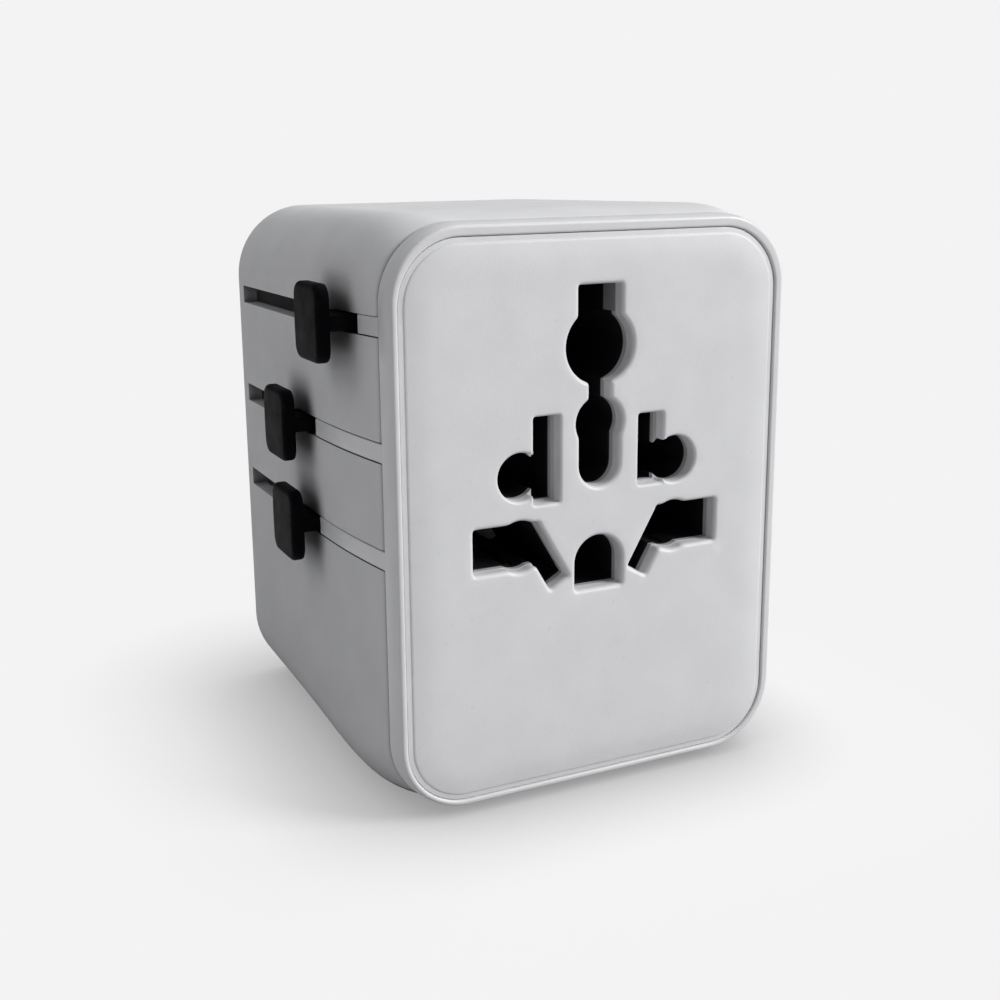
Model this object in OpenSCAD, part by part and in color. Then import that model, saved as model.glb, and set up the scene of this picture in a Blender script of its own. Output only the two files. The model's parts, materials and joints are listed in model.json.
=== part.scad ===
// Universal travel adapter with three sliding plugs behind one multi-standard socket.
// Millimetres. +Z up, socket face towards -Y, plug pins leave towards +Y, slide knobs at -X.
// The origin is the centre of the flat base.

/* [Body] */
// Width across the side walls
body_w = 50; // [48:1:60]
// Height from the base to the top
body_h = 64; // [62:1:78]
// Depth from the socket face to the pin face
body_d = 51; // [50:1:62]
// Corner radius of the body seen from the front
corner_r = 9; // [8:0.5:10]
// Housing wall
wall = 1.8; // [1.5:0.1:2]
// How far each side of the housing swells out behind the seam
swell = 1.3; // [0.8:0.1:1.6]
// Length over which the housing swells
swell_len = 17; // [12:1:20]
// Radius of the housing's rear edge
rear_edge_r = 1.6; // [1:0.1:2]

/* [Front] */
// Depth of the front bezel, from the face to the seam
bezel_d = 3.15; // [2.8:0.05:3.6]
// Width of the bezel's rim, from the housing's seam line to the face plate's gap
bezel_rim = 1.15; // [1:0.05:1.4]
// How much the bezel's front edge is drawn in from the seam
bezel_draft = 0.65; // [0.4:0.05:0.7]
// Gap around the face plate
face_gap = 0.25; // [0.2:0.05:0.4]
// Corner radius of the face plate
face_corner_r = 6; // [5:0.5:7]
// Thickness of the face plate at its raised middle
face_t = 1.5; // [1.3:0.1:1.9]
// Width of the low ledge around the face plate
face_ledge = 0.8; // [0.6:0.1:1.2]
// How far the middle stands above the ledge
face_rise = 0.35; // [0.2:0.05:0.5]

/* [Socket] */
// Height of the British line and neutral slots above the middle of the body
socket_drop = -2.7; // [-3.5:0.1:-2]
// Spacing of the round European holes
eu_pitch = 19; // [18.9:0.05:19.1]
// Radius of the European holes, from the face through the socket core
eu_hole_r = 2.6; // [2.5:0.05:2.7]
// Height of the European holes above the British slots
eu_hole_z = 7.5; // [7.3:0.1:7.7]
// Spacing of the American blades
us_pitch = 12.7; // [12.6:0.05:12.8]
// Height of the British line and neutral slots
uk_slot_h = 5.2; // [5:0.1:5.4]
// Half the distance between the outer ends of the British slots
uk_slot_end = 15.1; // [14.9:0.1:15.3]
// Height of the British earth pin above line and neutral
uk_earth_rise = 22.2; // [22.1:0.05:22.4]
// Depth of the socket core
core_d = 16; // [14:0.2:16.4]
// How far the core's holes are inside the face plate's
core_inset = 0.2; // [0.1:0.05:0.25]

/* [Slides] */
// Travel of the British plug
uk_travel = 23; // [22.8:0.1:23.2]
// Travel of the European plug
eu_travel = 19.2; // [19.1:0.1:19.4]
// Travel of the American and Australian plug
us_travel = 20.5; // [20:0.1:20.6]
// Height of a side slot
slot_h = 2.2; // [2:0.1:2.4]
// Distance from the pin face to the rear end of the side slots
slot_tail = 3.4; // [3.2:0.1:3.6]
// Height of a knob
knob_h = 8.15; // [7:0.1:9]
// Length of a knob along its slot
knob_l = 7.7; // [7:0.1:8]
// Thickness of a knob's plate
knob_t = 1.6; // [1.4:0.1:2]
// How far the knobs stand off the side wall
knob_standoff = 1.9; // [1.5:0.1:2.5]
// Length of a knob's stem along its slot
stem_l = 6.2; // [5:0.1:6.4]

/* [Pins] */
// Length of the British line and neutral pins outside the body
uk_pin_l = 17.7; // [17.5:0.1:17.9]
// Length of the British earth pin outside the body
uk_earth_l = 22.7; // [22.5:0.1:22.8]
// Length of the European pins outside the body
eu_pin_l = 19; // [18.8:0.1:19]
// Radius of the European pins
eu_pin_r = 2; // [1.95:0.05:2.05]
// Length of the American blades outside the body
us_pin_l = 17.5; // [16.5:0.1:18]
// Width of the American blades
us_blade_w = 6.35; // [6.2:0.05:6.4]
// Thickness of the American blades
us_blade_t = 1.5; // [1.4:0.05:1.6]
// Radius of the turning hub of a blade
hub_r = 5; // [4.8:0.1:5.2]

/* [Hidden] */

$fn = 48;
eps = 0.01;                 // overlap that makes a cut run past a face
run_gap = 0.05;             // radial clearance of what turns
fit_gap = 0.1;              // clearance of parts that are snapped together
arc_steps = 8;              // segments of each round corner of the swollen skin
swell_steps = 5;            // sections that make the swelling
edge_steps = 4;             // sections that make the rear edge

front = -body_d / 2;
back = body_d / 2;
mid_z = body_h / 2;
uk_z = mid_z + socket_drop;
seam_y = front + bezel_d;
seam_w = body_w - 2 * swell;
seam_h = body_h - 2 * swell;
seam_r = corner_r - 1;

// Face plate and the bezel's opening
open_w = seam_w - 2 * bezel_rim;
open_h = seam_h - 2 * bezel_rim;
face_w = open_w - 2 * face_gap;
face_h = open_h - 2 * face_gap;
face_back = front + face_t;
seat_w = face_w - 2.2;      // opening of the bezel's seat, behind the face plate
seat_h = face_h - 2.2;
skirt_l = 2.8;              // how far the bezel's skirt reaches into the housing
skirt_t = 1;

// Socket core
core_w = 40.8;
core_low = -12;             // the core's deep block, heights from the British slots
core_high = 30;
core_shoulder = 27.2;       // above this the core is narrower, to clear the corner bosses
core_top_w = 28;
ear_r = 1.8;                // the core's screw ears, inside the housing
core_front_wall = 1.4;      // thickness of the wall that the pins pass first
core_back = face_back + core_d;

// Back plate
rim_t = 1.2;                // thickness of the housing's rear rim
rim_in = wall + 0.6;         // width of the housing's rear rim
plate_t = 2;
plate_flange = 0.5;         // how far the plate's flange reaches behind the rim
plate_in = back - plate_t;
shelf_front = core_back + 4.1;
shelf_w = 30.4;

// Corner screws
boss_r = 2.4;
boss_in = 8.2;              // distance of a boss from the body's side
boss_in_z = 5;              // distance of a boss from the body's top or base
boss_front = front + 5.3;
screw_r = 1.1;
screw_head_r = 2;
screw_head_t = 1.2;
screw_l = 8;

// Carriages: y of each rear face at rest, then heights from the British slots
carriage_stop = plate_in - 0.2;
uk_rear = carriage_stop - uk_travel;
eu_rear = carriage_stop - eu_travel;
us_rear = carriage_stop - us_travel;
uk_slot_z = 23.7;
eu_slot_z = 10.9;
us_slot_z = -0.4;
uk_knob_y = uk_rear - 14.1; // middle of each knob at rest
eu_knob_y = eu_rear - 4.65;
us_knob_y = us_rear - 5.05;
slot_rear = back - slot_tail;
uk_slot_front = uk_knob_y - stem_l / 2 - 1.35;
eu_slot_front = eu_knob_y - stem_l / 2 - 1.95;
us_slot_front = us_knob_y - stem_l / 2 - 0.55;

knob_x = -(body_w / 2 + knob_standoff);      // inner face of the knobs' plates
arm_x = -(body_w / 2 - wall - 1);            // outer face of the carriages' arms
arm_t = 1.4;
arm_h = 5;
stem_h = slot_h - 0.5;
tenon_l = 1.2;              // what of a stem enters its arm
tenon_t = 1.1;
tenon_w = 4.6;
side_x = body_w / 2 - wall - 2.7;            // right-hand end of the British frame
riser_w = 4.9;

// Pins, heights from the British slots
uk_pin_w = 6.35;
uk_pin_t = 4;
uk_pin_x = 11.1;
uk_earth_h = 7.95;
uk_bar_h = 7.2;
uk_top_low = 17.6;
uk_top_high = 26.8;
uk_bridge_t = 2.6;          // thickness of the frame where a plug's pins reach it
uk_block_t = 7;
uk_block_w = 8.6;
eu_pin_z = eu_slot_z;
eu_block_h = 7;
eu_block_w = 25;
eu_block_t = 7.6;
eu_root_r = 1.7;            // thinner root of a European pin, inside its block
us_hub_z = -13.5;
hub_offset = 1;             // the hub's axis lies this far below the blade's middle
us_block_low = -19.3;
us_block_high = -6.5;
us_block_w = 25.2;
us_block_t = 7;
hub_t = 4;
hub_flange_r = hub_r + min(0.8, us_pitch / 2 - hub_r - 0.15);
retainer_t = 1;
aperture = 0.3;             // clearance around a pin in the back plate

// Contacts
leaf = 0.5;                 // thickness of the brass strip
window_l = 6;               // length of the core's windows, from its back
bump_y = core_back - 4;      // front of the bumps on the leaves
bump_l = 2;
leaf_front = face_back + 2;
leaf_back = core_back;
strip_x = 8;                // inner edge of the rear strips
strip_w = 6;
bus_x = 16;
bus_bend = core_back + 1.8;
strip_end = back - 3.8;
eu_strip_z = 15.1;
uk_strip_z = 4.9;
us_strip_z = -6.1;

// Fuse
fuse_x = 9;
fuse_r = 2.5;
fuse_l = 20;
fuse_z = wall + 4.3;        // height of the fuse above the base
fuse_y = back - 26.5;       // front end of the fuse
cap_r = 3.2;
cap_l = 4.6;
clip_w = 3;

white = [0.86, 0.86, 0.87];
black = [0.05, 0.05, 0.06];
brass = [0.80, 0.64, 0.32];
nickel = [0.74, 0.74, 0.72];
steel = [0.55, 0.56, 0.58];

// ---- shared shapes ----

// Extrudes a drawing made in X and Z from y0 to y1.
module along_y(y0, y1) {
    translate([0, y1, 0])
        rotate([90, 0, 0])
            linear_extrude(y1 - y0) children();
}

// Box between two corners.
module block(low, high) {
    translate(low) cube(high - low);
}

// Box between two corners, with heights counted from the British slots.
module block_z(low, high) {
    translate([0, 0, uk_z]) block(low, high);
}

// Rectangle with true round corners, centred.
module round_rect(w, h, r) {
    square([w - 2 * r, h], center = true);
    square([w, h - 2 * r], center = true);
    for (sx = [-1, 1], sy = [-1, 1])
        translate([sx * (w / 2 - r), sy * (h / 2 - r)]) circle(r);
}

// Outline of the body at depth y, swollen by grow: points of a rectangle with round corners.
function outline(y, grow, corner) = [
    for (quarter = [0 : 3], i = [0 : arc_steps])
        let (a = 90 * (quarter + i / arc_steps),
             sx = quarter == 0 || quarter == 3 ? 1 : -1,
             sz = quarter < 2 ? 1 : -1)
        [sx * (seam_w / 2 + grow - corner) + corner * cos(a), y,
         mid_z + sz * (seam_h / 2 + grow - corner) + corner * sin(a)]];

// Closed solid through outlines that follow each other towards the back.
module loft(outlines) {
    n = len(outlines[0]);
    last = n * (len(outlines) - 1);
    polyhedron(
        points = [for (o = outlines) each o],
        faces = concat(
            [[for (i = [n - 1 : -1 : 0]) i]],
            [for (k = [0 : n : last - 1], i = [0 : n - 1])
                let (j = (i + 1) % n) each [[k + i, k + j, k + n + j], [k + i, k + n + j, k + n + i]]],
            [[for (i = [0 : n - 1]) last + i]]),
        convexity = 4);
}

// Swelling at a share t of its length: a parabola that ends level.
function swelling(t) = swell * (1 - pow(1 - t, 2));

// Outlines of the swelling, from the seam back.
function swollen_outlines(inset) = [
    for (i = [0 : swell_steps])
        let (t = i / swell_steps)
        outline(seam_y + t * swell_len, swelling(t) - inset, seam_r + t - inset)];

// The body's skin, inset all round, from before the seam to y1.
module skin(inset, y0, y1) {
    loft(concat(
        [outline(y0, -inset, seam_r - inset)],
        swollen_outlines(inset),
        [outline(y1, swell - inset, corner_r - inset)]));
}

// The same skin with its rear edge rounded.
module rounded_skin() {
    loft(concat(
        swollen_outlines(0),
        [for (i = [0 : edge_steps])
            let (a = 90 * i / edge_steps, in = rear_edge_r * (1 - cos(a)))
            outline(back - rear_edge_r * (1 - sin(a)), swell - in, corner_r - in)]));
}

// The places of the four corner screws.
module at_corners() {
    for (sx = [-1, 1], z = [boss_in_z, body_h - boss_in_z])
        translate([sx * (body_w / 2 - boss_in), 0, z]) children();
}

// Cylinder along Y.
module rod(r, y0, y1) {
    translate([0, y0, 0]) rotate([-90, 0, 0]) cylinder(r = r, h = y1 - y0);
}

// Countersunk-free pan screw along Y; its head is at the start and faces along dir.
module screw(head_y, dir) {
    y1 = head_y - dir * screw_head_t;
    y2 = y1 - dir * screw_l;
    rod(screw_head_r, min(head_y, y1), max(head_y, y1));
    rod(screw_r, min(y1, y2), max(y1, y2));
}

// ---- socket pattern, drawn in X and Z about the British slots ----

// Earth hole above, joined by a neck to the round-ended hole below it.
module earth_holes(g) {
    top = 27.15;
    big_r = 4.18;
    big_z = 20.55;
    small_r = 2.97;
    small_z = 12.4;
    low_w = 2.58;
    low_z = 7.88;
    translate([-2.74 + g, big_z]) square([2 * (2.74 - g), top - g - big_z]);
    translate([0, big_z]) circle(big_r - g);
    translate([-1.42 + g, small_z]) square([2 * (1.42 - g), big_z - small_z]);
    translate([0, small_z]) circle(small_r - g);
    translate([-low_w + g, low_z]) square([2 * (low_w - g), small_z - low_z]);
    translate([0, low_z]) circle(low_w - g);
}

// Round European hole joined to the upright American slot; side is -1 or 1.
module line_holes(g, side) {
    slot_low = side < 0 ? 4.29 : 5.05;
    slot_high = side < 0 ? 13.71 : 12.93;
    slot_in = us_pitch / 2 - 1.55;
    slot_out = us_pitch / 2 + 1.6;
    narrow = 2 * g;
    mirror([side < 0 ? 1 : 0, 0]) {
        translate([slot_in + narrow, slot_low + g])
            square([slot_out - slot_in - 2 * narrow, slot_high - slot_low - 2 * g]);
        translate([slot_out - 2 * narrow, eu_hole_z - 1])
            square([eu_pitch / 2 - slot_out, 2]);
        translate([eu_pitch / 2, eu_hole_z]) circle(eu_hole_r);
    }
}

// British slot with its round bulge and the slanted Australian leg.
module angled_holes(g, side) {
    inner = 7.3;
    leg_w = 2.85;
    leg_l = 7.73;
    leg_x = 6.7;
    leg_z = -1.4;
    bulge_r = 2.95;
    mirror([side < 0 ? 1 : 0, 0]) {
        translate([inner, -uk_slot_h / 2 + g])
            square([uk_slot_end - inner - g, uk_slot_h - 2 * g]);
        translate([eu_pitch / 2, 0]) circle(bulge_r - g);
        translate([leg_x, leg_z])
            rotate(-30) square([leg_w - 2 * g, leg_l - 2 * g], center = true);
    }
}

// Round-topped American ground hole.
module ground_hole(g) {
    half_w = 3.05;
    low = -6;
    top_z = 0.2 - half_w;
    translate([-half_w + g, low + g]) square([2 * (half_w - g), top_z - low - g]);
    translate([0, top_z]) circle(half_w - g);
}

// The whole pattern; g draws every outline in, apart from the European circles.
module socket_pattern(g) {
    translate([0, uk_z]) {
        earth_holes(g);
        ground_hole(g);
        for (side = [-1, 1]) {
            line_holes(g, side);
            angled_holes(g, side);
        }
    }
}

// ---- casing ----

// A side slot through the left wall, from y0 back to y1.
module side_slot(z, y0, y1, h) {
    block_z([-body_w, y0, z - h / 2], [-body_w / 4, y1, z + h / 2]);
}

// Long screw bosses, each with a web that runs on into the top or the base.
module corner_bosses() {
    web_t = 1.6;
    at_corners() rod(boss_r, boss_front, plate_in);
    for (sx = [-1, 1], z = [0, body_h - boss_in_z])
        translate([sx * (body_w / 2 - boss_in) - web_t / 2, boss_front, z])
            cube([web_t, plate_in - boss_front, boss_in_z]);
}

// White housing: a swollen tube with a rear rim, corner bosses and three slots.
module rear_housing() color(white) {
    difference() {
        union() {
            difference() {
                rounded_skin();
                skin(wall, seam_y - 1, back - rim_t);
                translate([0, 0, mid_z])
                    along_y(back - 3 * rim_t, back + 1)
                        round_rect(body_w - 2 * rim_in, body_h - 2 * rim_in, corner_r - rim_in);
            }
            intersection() {
                corner_bosses();
                skin(wall / 2, seam_y - 1, back - rim_t);
            }
        }
        at_corners() rod(screw_r + fit_gap, boss_front - 1, face_back + screw_head_t + screw_l + 2);
        at_corners() rod(screw_r + fit_gap, plate_in - screw_l, plate_in + 1);
        side_slot(uk_slot_z, seam_y - 1, slot_rear, slot_h);
        side_slot(eu_slot_z, seam_y - 1, slot_rear, slot_h);
        side_slot(us_slot_z, seam_y - 1, slot_rear, slot_h);
    }
}

// A tongue of the bezel that closes the front of a slot, between the skins.
module tongue_space(z, y1) {
    side_slot(z, seam_y - 0.3, y1, slot_h - 2 * fit_gap);
}

// White bezel: rim, seat for the face plate, skirt and three tongues.
module front_bezel() color(white) {
    difference() {
        union() {
            loft([outline(front, -bezel_draft, seam_r - bezel_draft),
                  outline(front + 0.35, -bezel_draft / 2, seam_r - bezel_draft / 2),
                  outline(front + 0.9, -0.1, seam_r),
                  outline(seam_y, 0, seam_r)]);
            translate([0, 0, mid_z])
                along_y(seam_y - 0.5, seam_y + skirt_l)
                    round_rect(seam_w - 2 * wall - 0.3, seam_h - 2 * wall - 0.3, seam_r - wall);
        }
        translate([0, 0, mid_z])
            along_y(front - 1, face_back) round_rect(open_w, open_h, face_corner_r);
        translate([0, 0, mid_z])
            along_y(front, seam_y + skirt_l + 1) round_rect(seat_w, seat_h, face_corner_r - 1);
        translate([0, 0, mid_z])
            along_y(seam_y + 0.6, seam_y + skirt_l + 1)
                round_rect(seam_w - 2 * wall - 2 * skirt_t, seam_h - 2 * wall - 2 * skirt_t,
                           seam_r - wall - skirt_t);
        at_corners() rod(boss_r + fit_gap, face_back - eps, back);
    }
    intersection() {
        difference() {
            skin(0, seam_y - 0.4, back);
            skin(wall, seam_y - 1, back + 1);
        }
        union() {
            tongue_space(uk_slot_z, uk_slot_front);
            tongue_space(eu_slot_z, eu_slot_front);
            tongue_space(us_slot_z, us_slot_front);
        }
    }
}

// White face plate with a raised middle and the hole pattern.
module face_plate() color(white) {
    difference() {
        translate([0, 0, mid_z]) {
            along_y(front + face_rise, face_back)
                round_rect(face_w, face_h, face_corner_r - face_gap);
            along_y(front, front + face_rise + eps)
                round_rect(face_w - 2 * face_ledge, face_h - 2 * face_ledge,
                           face_corner_r - face_gap - face_ledge);
        }
        along_y(front - 1, face_back + 1) socket_pattern(0);
    }
}

// Pin openings of the back plate, drawn in X and Z about the British slots.
module pin_openings() {
    for (side = [-1, 1]) {
        translate([side * uk_pin_x, 0])
            square([uk_pin_w + 2 * aperture, uk_pin_t + 2 * aperture], center = true);
        translate([side * eu_pitch / 2, eu_pin_z]) circle(eu_pin_r + aperture);
        translate([side * us_pitch / 2, us_hub_z]) circle(hub_r - 0.4);
    }
    translate([0, uk_earth_rise])
        square([uk_pin_t + 2 * aperture, uk_earth_h + 2 * aperture], center = true);
}

// White back plate: pin openings, fuse hole and three guide shelves.
module back_plate() color(white) {
    difference() {
        union() {
            translate([0, 0, mid_z]) {
                along_y(plate_in, back)
                    round_rect(body_w - 2 * rim_in - 2 * fit_gap, body_h - 2 * rim_in - 2 * fit_gap,
                               corner_r - rim_in - fit_gap);
                along_y(plate_in, back - rim_t)
                    round_rect(body_w - 2 * rim_in + 2 * plate_flange,
                               body_h - 2 * rim_in + 2 * plate_flange,
                               corner_r - rim_in + plate_flange);
            }
            for (z = [eu_strip_z + leaf, uk_strip_z + leaf, us_strip_z + leaf])
                block_z([-shelf_w / 2, shelf_front, z], [shelf_w / 2, plate_in + eps, z + 1.6]);
        }
        along_y(plate_in - eps, back + 1) translate([0, uk_z]) pin_openings();
        translate([fuse_x, 0, fuse_z]) rod(cap_r + fit_gap, plate_in - 1, back + 1);
        at_corners() rod(screw_r + fit_gap, plate_in - 1, back + 1);
        at_corners() rod(screw_head_r + fit_gap, back - screw_head_t, back + 1);
    }
}

// Screws from the pin side, into the housing's bosses.
module back_screws() color(steel)
    at_corners() screw(back, 1);

// ---- socket ----

// Insulating core behind the face plate, with a cell for every contact.
module socket_core() color(white) {
    y0 = face_back;
    y1 = y0 + core_front_wall;
    cell_in = 4.1;
    cell_out = 13.1;
    window_y = core_back - window_l;
    difference() {
        union() {
            translate([0, 0, mid_z])
                along_y(y0, y1 + 0.6)
                    round_rect(seam_w - 2 * wall - 1.6, seam_h - 2 * wall - 1.6, face_corner_r - 1.2);
            block_z([-core_w / 2, y0 + eps, core_low], [core_w / 2, core_back, core_shoulder]);
            block_z([-core_top_w / 2, y0 + eps, core_low], [core_top_w / 2, core_back, core_high]);
            at_corners() {
                rod(boss_r, y0, seam_y);
                rod(ear_r, y0, boss_front);
            }
        }
        along_y(y0 - 1, core_back + 1) socket_pattern(core_inset);
        for (side = [-1, 1]) mirror([side < 0 ? 1 : 0, 0, 0]) {
            // cell of the upright leaves
            block_z([cell_in, y1, 3.9], [cell_in + leaf + 0.2, core_back + 1, 14.8]);
            block_z([cell_in, y1, 14.1], [cell_out, core_back + 1, 14.8]);
            block_z([cell_out - leaf - 0.2, y1, 2.7], [cell_out, core_back + 1, 14.8]);
            // cell of the level leaves
            block_z([7.6, y1, 2.7], [16.1, core_back + 1, 3.4]);
            block_z([8.8, y1, -3.4], [16.1, core_back + 1, -2.7]);
            block_z([15.4, y1, -3.4], [16.6, core_back + 1, 3.4]);
            // windows that let the leaves' bumps reach the pins
            block_z([cell_in + 0.4, window_y, 6.5], [5.5, core_back + 1, 10.5]);
            block_z([11.5, window_y, 6], [cell_out - 0.3, core_back + 1, 9]);
            for (z = [-3, 2.2]) block_z([10, window_y, z], [13.5, core_back + 1, z + 0.8]);
        }
        // cells of the earth and ground contacts
        for (x = [-5, 4.3]) block_z([x, y1, 16.9], [x + 0.7, core_back + 1, 28.2]);
        block_z([-5, y1, 27.5], [5, core_back + 1, 28.2]);
        for (x = [-3.9, 3.2]) block_z([x, y1, -8.5], [x + 0.7, core_back + 1, 0]);
        block_z([-3.9, y1, -8.5], [3.9, core_back + 1, -7.8]);
        at_corners() rod(screw_r + fit_gap, y0 - 1, boss_front + 1);
        at_corners() rod(screw_head_r + fit_gap, y0 - 1, y0 + screw_head_t);
    }
}

// Screws that hold the core to the housing, under the face plate.
module socket_screws() color(steel)
    at_corners() screw(face_back, -1);

// Folded brass contact for one side: upright leaves above, level leaves below.
module line_contact(side) {
    mirror([side < 0 ? 1 : 0, 0, 0]) {
        block_z([4.2, leaf_front, 4], [4.2 + leaf, leaf_back, 14.7]);
        block_z([4.2, leaf_front, 14.7 - leaf], [13, leaf_back, 14.7]);
        block_z([13 - leaf, leaf_front, 2.8], [13, leaf_back, 14.7]);
        block_z([7.7, leaf_front, 2.8], [bus_x, leaf_back, 2.8 + leaf]);
        block_z([bus_x - leaf, leaf_front, -3.3], [bus_x, leaf_back, 3.3]);
        block_z([8.9, leaf_front, -3.3], [bus_x, leaf_back, -3.3 + leaf]);
        // bumps that press on an American blade, a round pin and a British pin
        block_z([4.6, bump_y, 7.5], [5.1, bump_y + bump_l, 9.5]);
        block_z([12.12, bump_y, 6.5], [12.6, bump_y + bump_l, 8.5]);
        block_z([10.5, bump_y, 2.45], [13, bump_y + bump_l, 2.9]);
        block_z([10.5, bump_y, -2.9], [13, bump_y + bump_l, -2.45]);
    }
}

module live_contact() color(brass) line_contact(1);
module neutral_contact() color(brass) line_contact(-1);

// Brass clip around the earth pin's place.
module earth_contact() color(brass) {
    for (x = [-4.9, 4.4]) block_z([x, leaf_front, 17], [x + leaf, leaf_back, 28.1]);
    block_z([-4.9, leaf_front, 28.1 - leaf], [4.9, leaf_back, 28.1]);
}

// Brass clip around the American ground pin's place.
module ground_contact() color(brass) {
    for (x = [-3.8, 3.3]) block_z([x, leaf_front, -8.4], [x + leaf, leaf_back, -0.1]);
    block_z([-3.8, leaf_front, -8.4], [3.8, leaf_back, -8.4 + leaf]);
}

// Brass strips that carry one side back to the three plugs.
module line_bus(side) {
    x0 = bus_x;
    x1 = bus_x + leaf;
    mirror([side < 0 ? 1 : 0, 0, 0]) {
        block_z([x0, leaf_front + 2, -2.9], [x1, bus_bend, 2.9]);
        block_z([x0, core_back + fit_gap, us_strip_z], [x1, bus_bend + 1.2, eu_strip_z + leaf]);
        for (z = [eu_strip_z, uk_strip_z, us_strip_z]) {
            block_z([strip_x, bus_bend, z], [x1, bus_bend + 1.2, z + leaf]);
            block_z([strip_x, bus_bend, z], [strip_x + strip_w, strip_end, z + leaf]);
        }
    }
}

module live_bus() color(brass) line_bus(1);
module neutral_bus() color(brass) line_bus(-1);

// Brass link from the earth clip round to the ground clip and back over the earth pin.
module earth_link() color(brass) {
    y0 = leaf_back;
    y1 = leaf_back + leaf;
    x0 = -core_w / 2 + 0.6;
    x1 = x0 + 1.8;
    high = core_shoulder;
    block_z([x0, y0, -8.4], [x1, y1, high]);
    block_z([x0, y0, high - 0.45], [4.9, y1, high]);
    block_z([-4.9, y0, high - 0.45], [4.9, y1, 28.1]);
    block_z([x0, y0, -8.4], [3.8, y1, -8.4 + leaf]);
    block_z([-2, y0, 28.1 - leaf], [2, strip_end, 28.1]);
}

// ---- fuse ----

module at_fuse() {
    translate([fuse_x, 0, fuse_z]) children();
}

// Cartridge fuse: one solid standing for its glass tube and end caps.
module fuse() color(nickel) {
    band = 5;
    at_fuse() {
        rod(fuse_r, fuse_y, fuse_y + band);
        rod(fuse_r - 0.2, fuse_y + band - eps, fuse_y + fuse_l - band + eps);
        rod(fuse_r, fuse_y + fuse_l - band, fuse_y + fuse_l);
    }
}

// Two spring clips that grip the ends of the fuse.
module fuse_clips() color(brass) {
    for (y = [fuse_y + 0.8, fuse_y + fuse_l - clip_w - 0.8])
        at_fuse() difference() {
            rod(fuse_r + run_gap + leaf, y, y + clip_w);
            rod(fuse_r + run_gap, y - 1, y + clip_w + 1);
            block([-fuse_r, y - 1, 1], [fuse_r, y + clip_w + 1, 2 * fuse_r]);
        }
}

// Black tray that carries the fuse above the floor of the housing.
module fuse_holder() color(black) {
    half_w = fuse_r + 1.6;
    difference() {
        block([fuse_x - half_w, fuse_y - 2, wall + 0.05], [fuse_x + half_w, plate_in - 0.05, fuse_z]);
        at_fuse() rod(fuse_r + 0.8, fuse_y - 0.2, fuse_y + fuse_l + 0.2);
        at_fuse() rod(cap_r + fit_gap, fuse_y + fuse_l + 0.1, back);
    }
}

// White round cap that closes the fuse hole, with a slot for a coin.
module fuse_cap() color(white) {
    slot_w = 1.2;
    difference() {
        at_fuse() rod(cap_r, back - cap_l, back);
        at_fuse() block([1 - cap_r, back - 1, -slot_w / 2], [cap_r - 1, back + 1, slot_w / 2]);
    }
}

// Brass strip from the live strips down to the fuse's front clip.
module fuse_link() color(brass) {
    x0 = fuse_x + fuse_r + run_gap + leaf;
    x1 = bus_x + leaf;
    y0 = core_back + fit_gap;
    y1 = fuse_y + 0.8;
    low = fuse_z + 1.7;
    high = low + 1.4;
    block([bus_x, y0, low], [x1, y0 + 1.6, uk_z + us_strip_z]);
    block([bus_x, y0, low], [x1, y1 + leaf, high]);
    block([x0, y1, low], [x1, y1 + leaf, high]);
    block([x0, y1, fuse_z], [x0 + 1.2, y1 + leaf, high]);
}

// ---- plugs ----

// Rectangular pin along Y with all four edges of its tip drawn in.
module bar_pin(w, h, y0, y1) {
    taper = 2;
    in = 0.6;
    intersection() {
        translate([0, 0, -h / 2])
            linear_extrude(h)
                polygon([[-w / 2, y0], [w / 2, y0], [w / 2, y1 - taper], [w / 2 - in, y1],
                         [in - w / 2, y1], [-w / 2, y1 - taper]]);
        translate([-w / 2, 0, 0])
            rotate([90, 0, 90])
                linear_extrude(w)
                    polygon([[y0, -h / 2], [y1 - taper, -h / 2], [y1, in - h / 2],
                             [y1, h / 2 - in], [y1 - taper, h / 2], [y0, h / 2]]);
    }
}

// T-shaped black knob: plate, softened outer layer, stem and tenon.
module knob(y, z) {
    edge = 0.4;
    stem_in = arm_x;
    translate([0, y, uk_z + z]) {
        rotate([0, -90, 0]) {
            translate([0, 0, -knob_x])
                linear_extrude(knob_t - edge) round_rect(knob_h, knob_l, 1.4);
            translate([0, 0, -knob_x + knob_t - edge - eps])
                linear_extrude(edge + eps)
                    round_rect(knob_h - 2 * edge, knob_l - 2 * edge, 1.4 - edge);
        }
        block([knob_x - eps, -stem_l / 2, -stem_h / 2], [stem_in, stem_l / 2, stem_h / 2]);
        block([stem_in - eps, -tenon_w / 2, -tenon_t / 2],
              [stem_in + tenon_l, tenon_w / 2, tenon_t / 2]);
    }
}

// Mortise in an arm for a knob's tenon.
module mortise(y, z) {
    m = fit_gap / 2;
    translate([0, y, uk_z + z])
        block([arm_x - 1, -tenon_w / 2 - m, -tenon_t / 2 - m],
              [arm_x + tenon_l + m, tenon_w / 2 + m, tenon_t / 2 + m]);
}

// Bent steel leaf that clicks into the end stops; it stands on an arm's top.
module latch_leaf(y, z) {
    l = 4.4;
    t = 0.3;
    rise = 0.7;
    translate([arm_x + 0.1, y, uk_z + z])
        rotate([90, 0, 90])
            linear_extrude(1.2)
                polygon([[-l / 2, 0], [-l / 2 + 0.8, 0], [-0.5, rise - t], [0.5, rise - t],
                         [l / 2 - 0.8, 0], [l / 2, 0], [l / 2, t], [l / 2 - 0.7, t],
                         [0.6, rise], [-0.6, rise], [0.7 - l / 2, t], [-l / 2, t]]);
}

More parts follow.
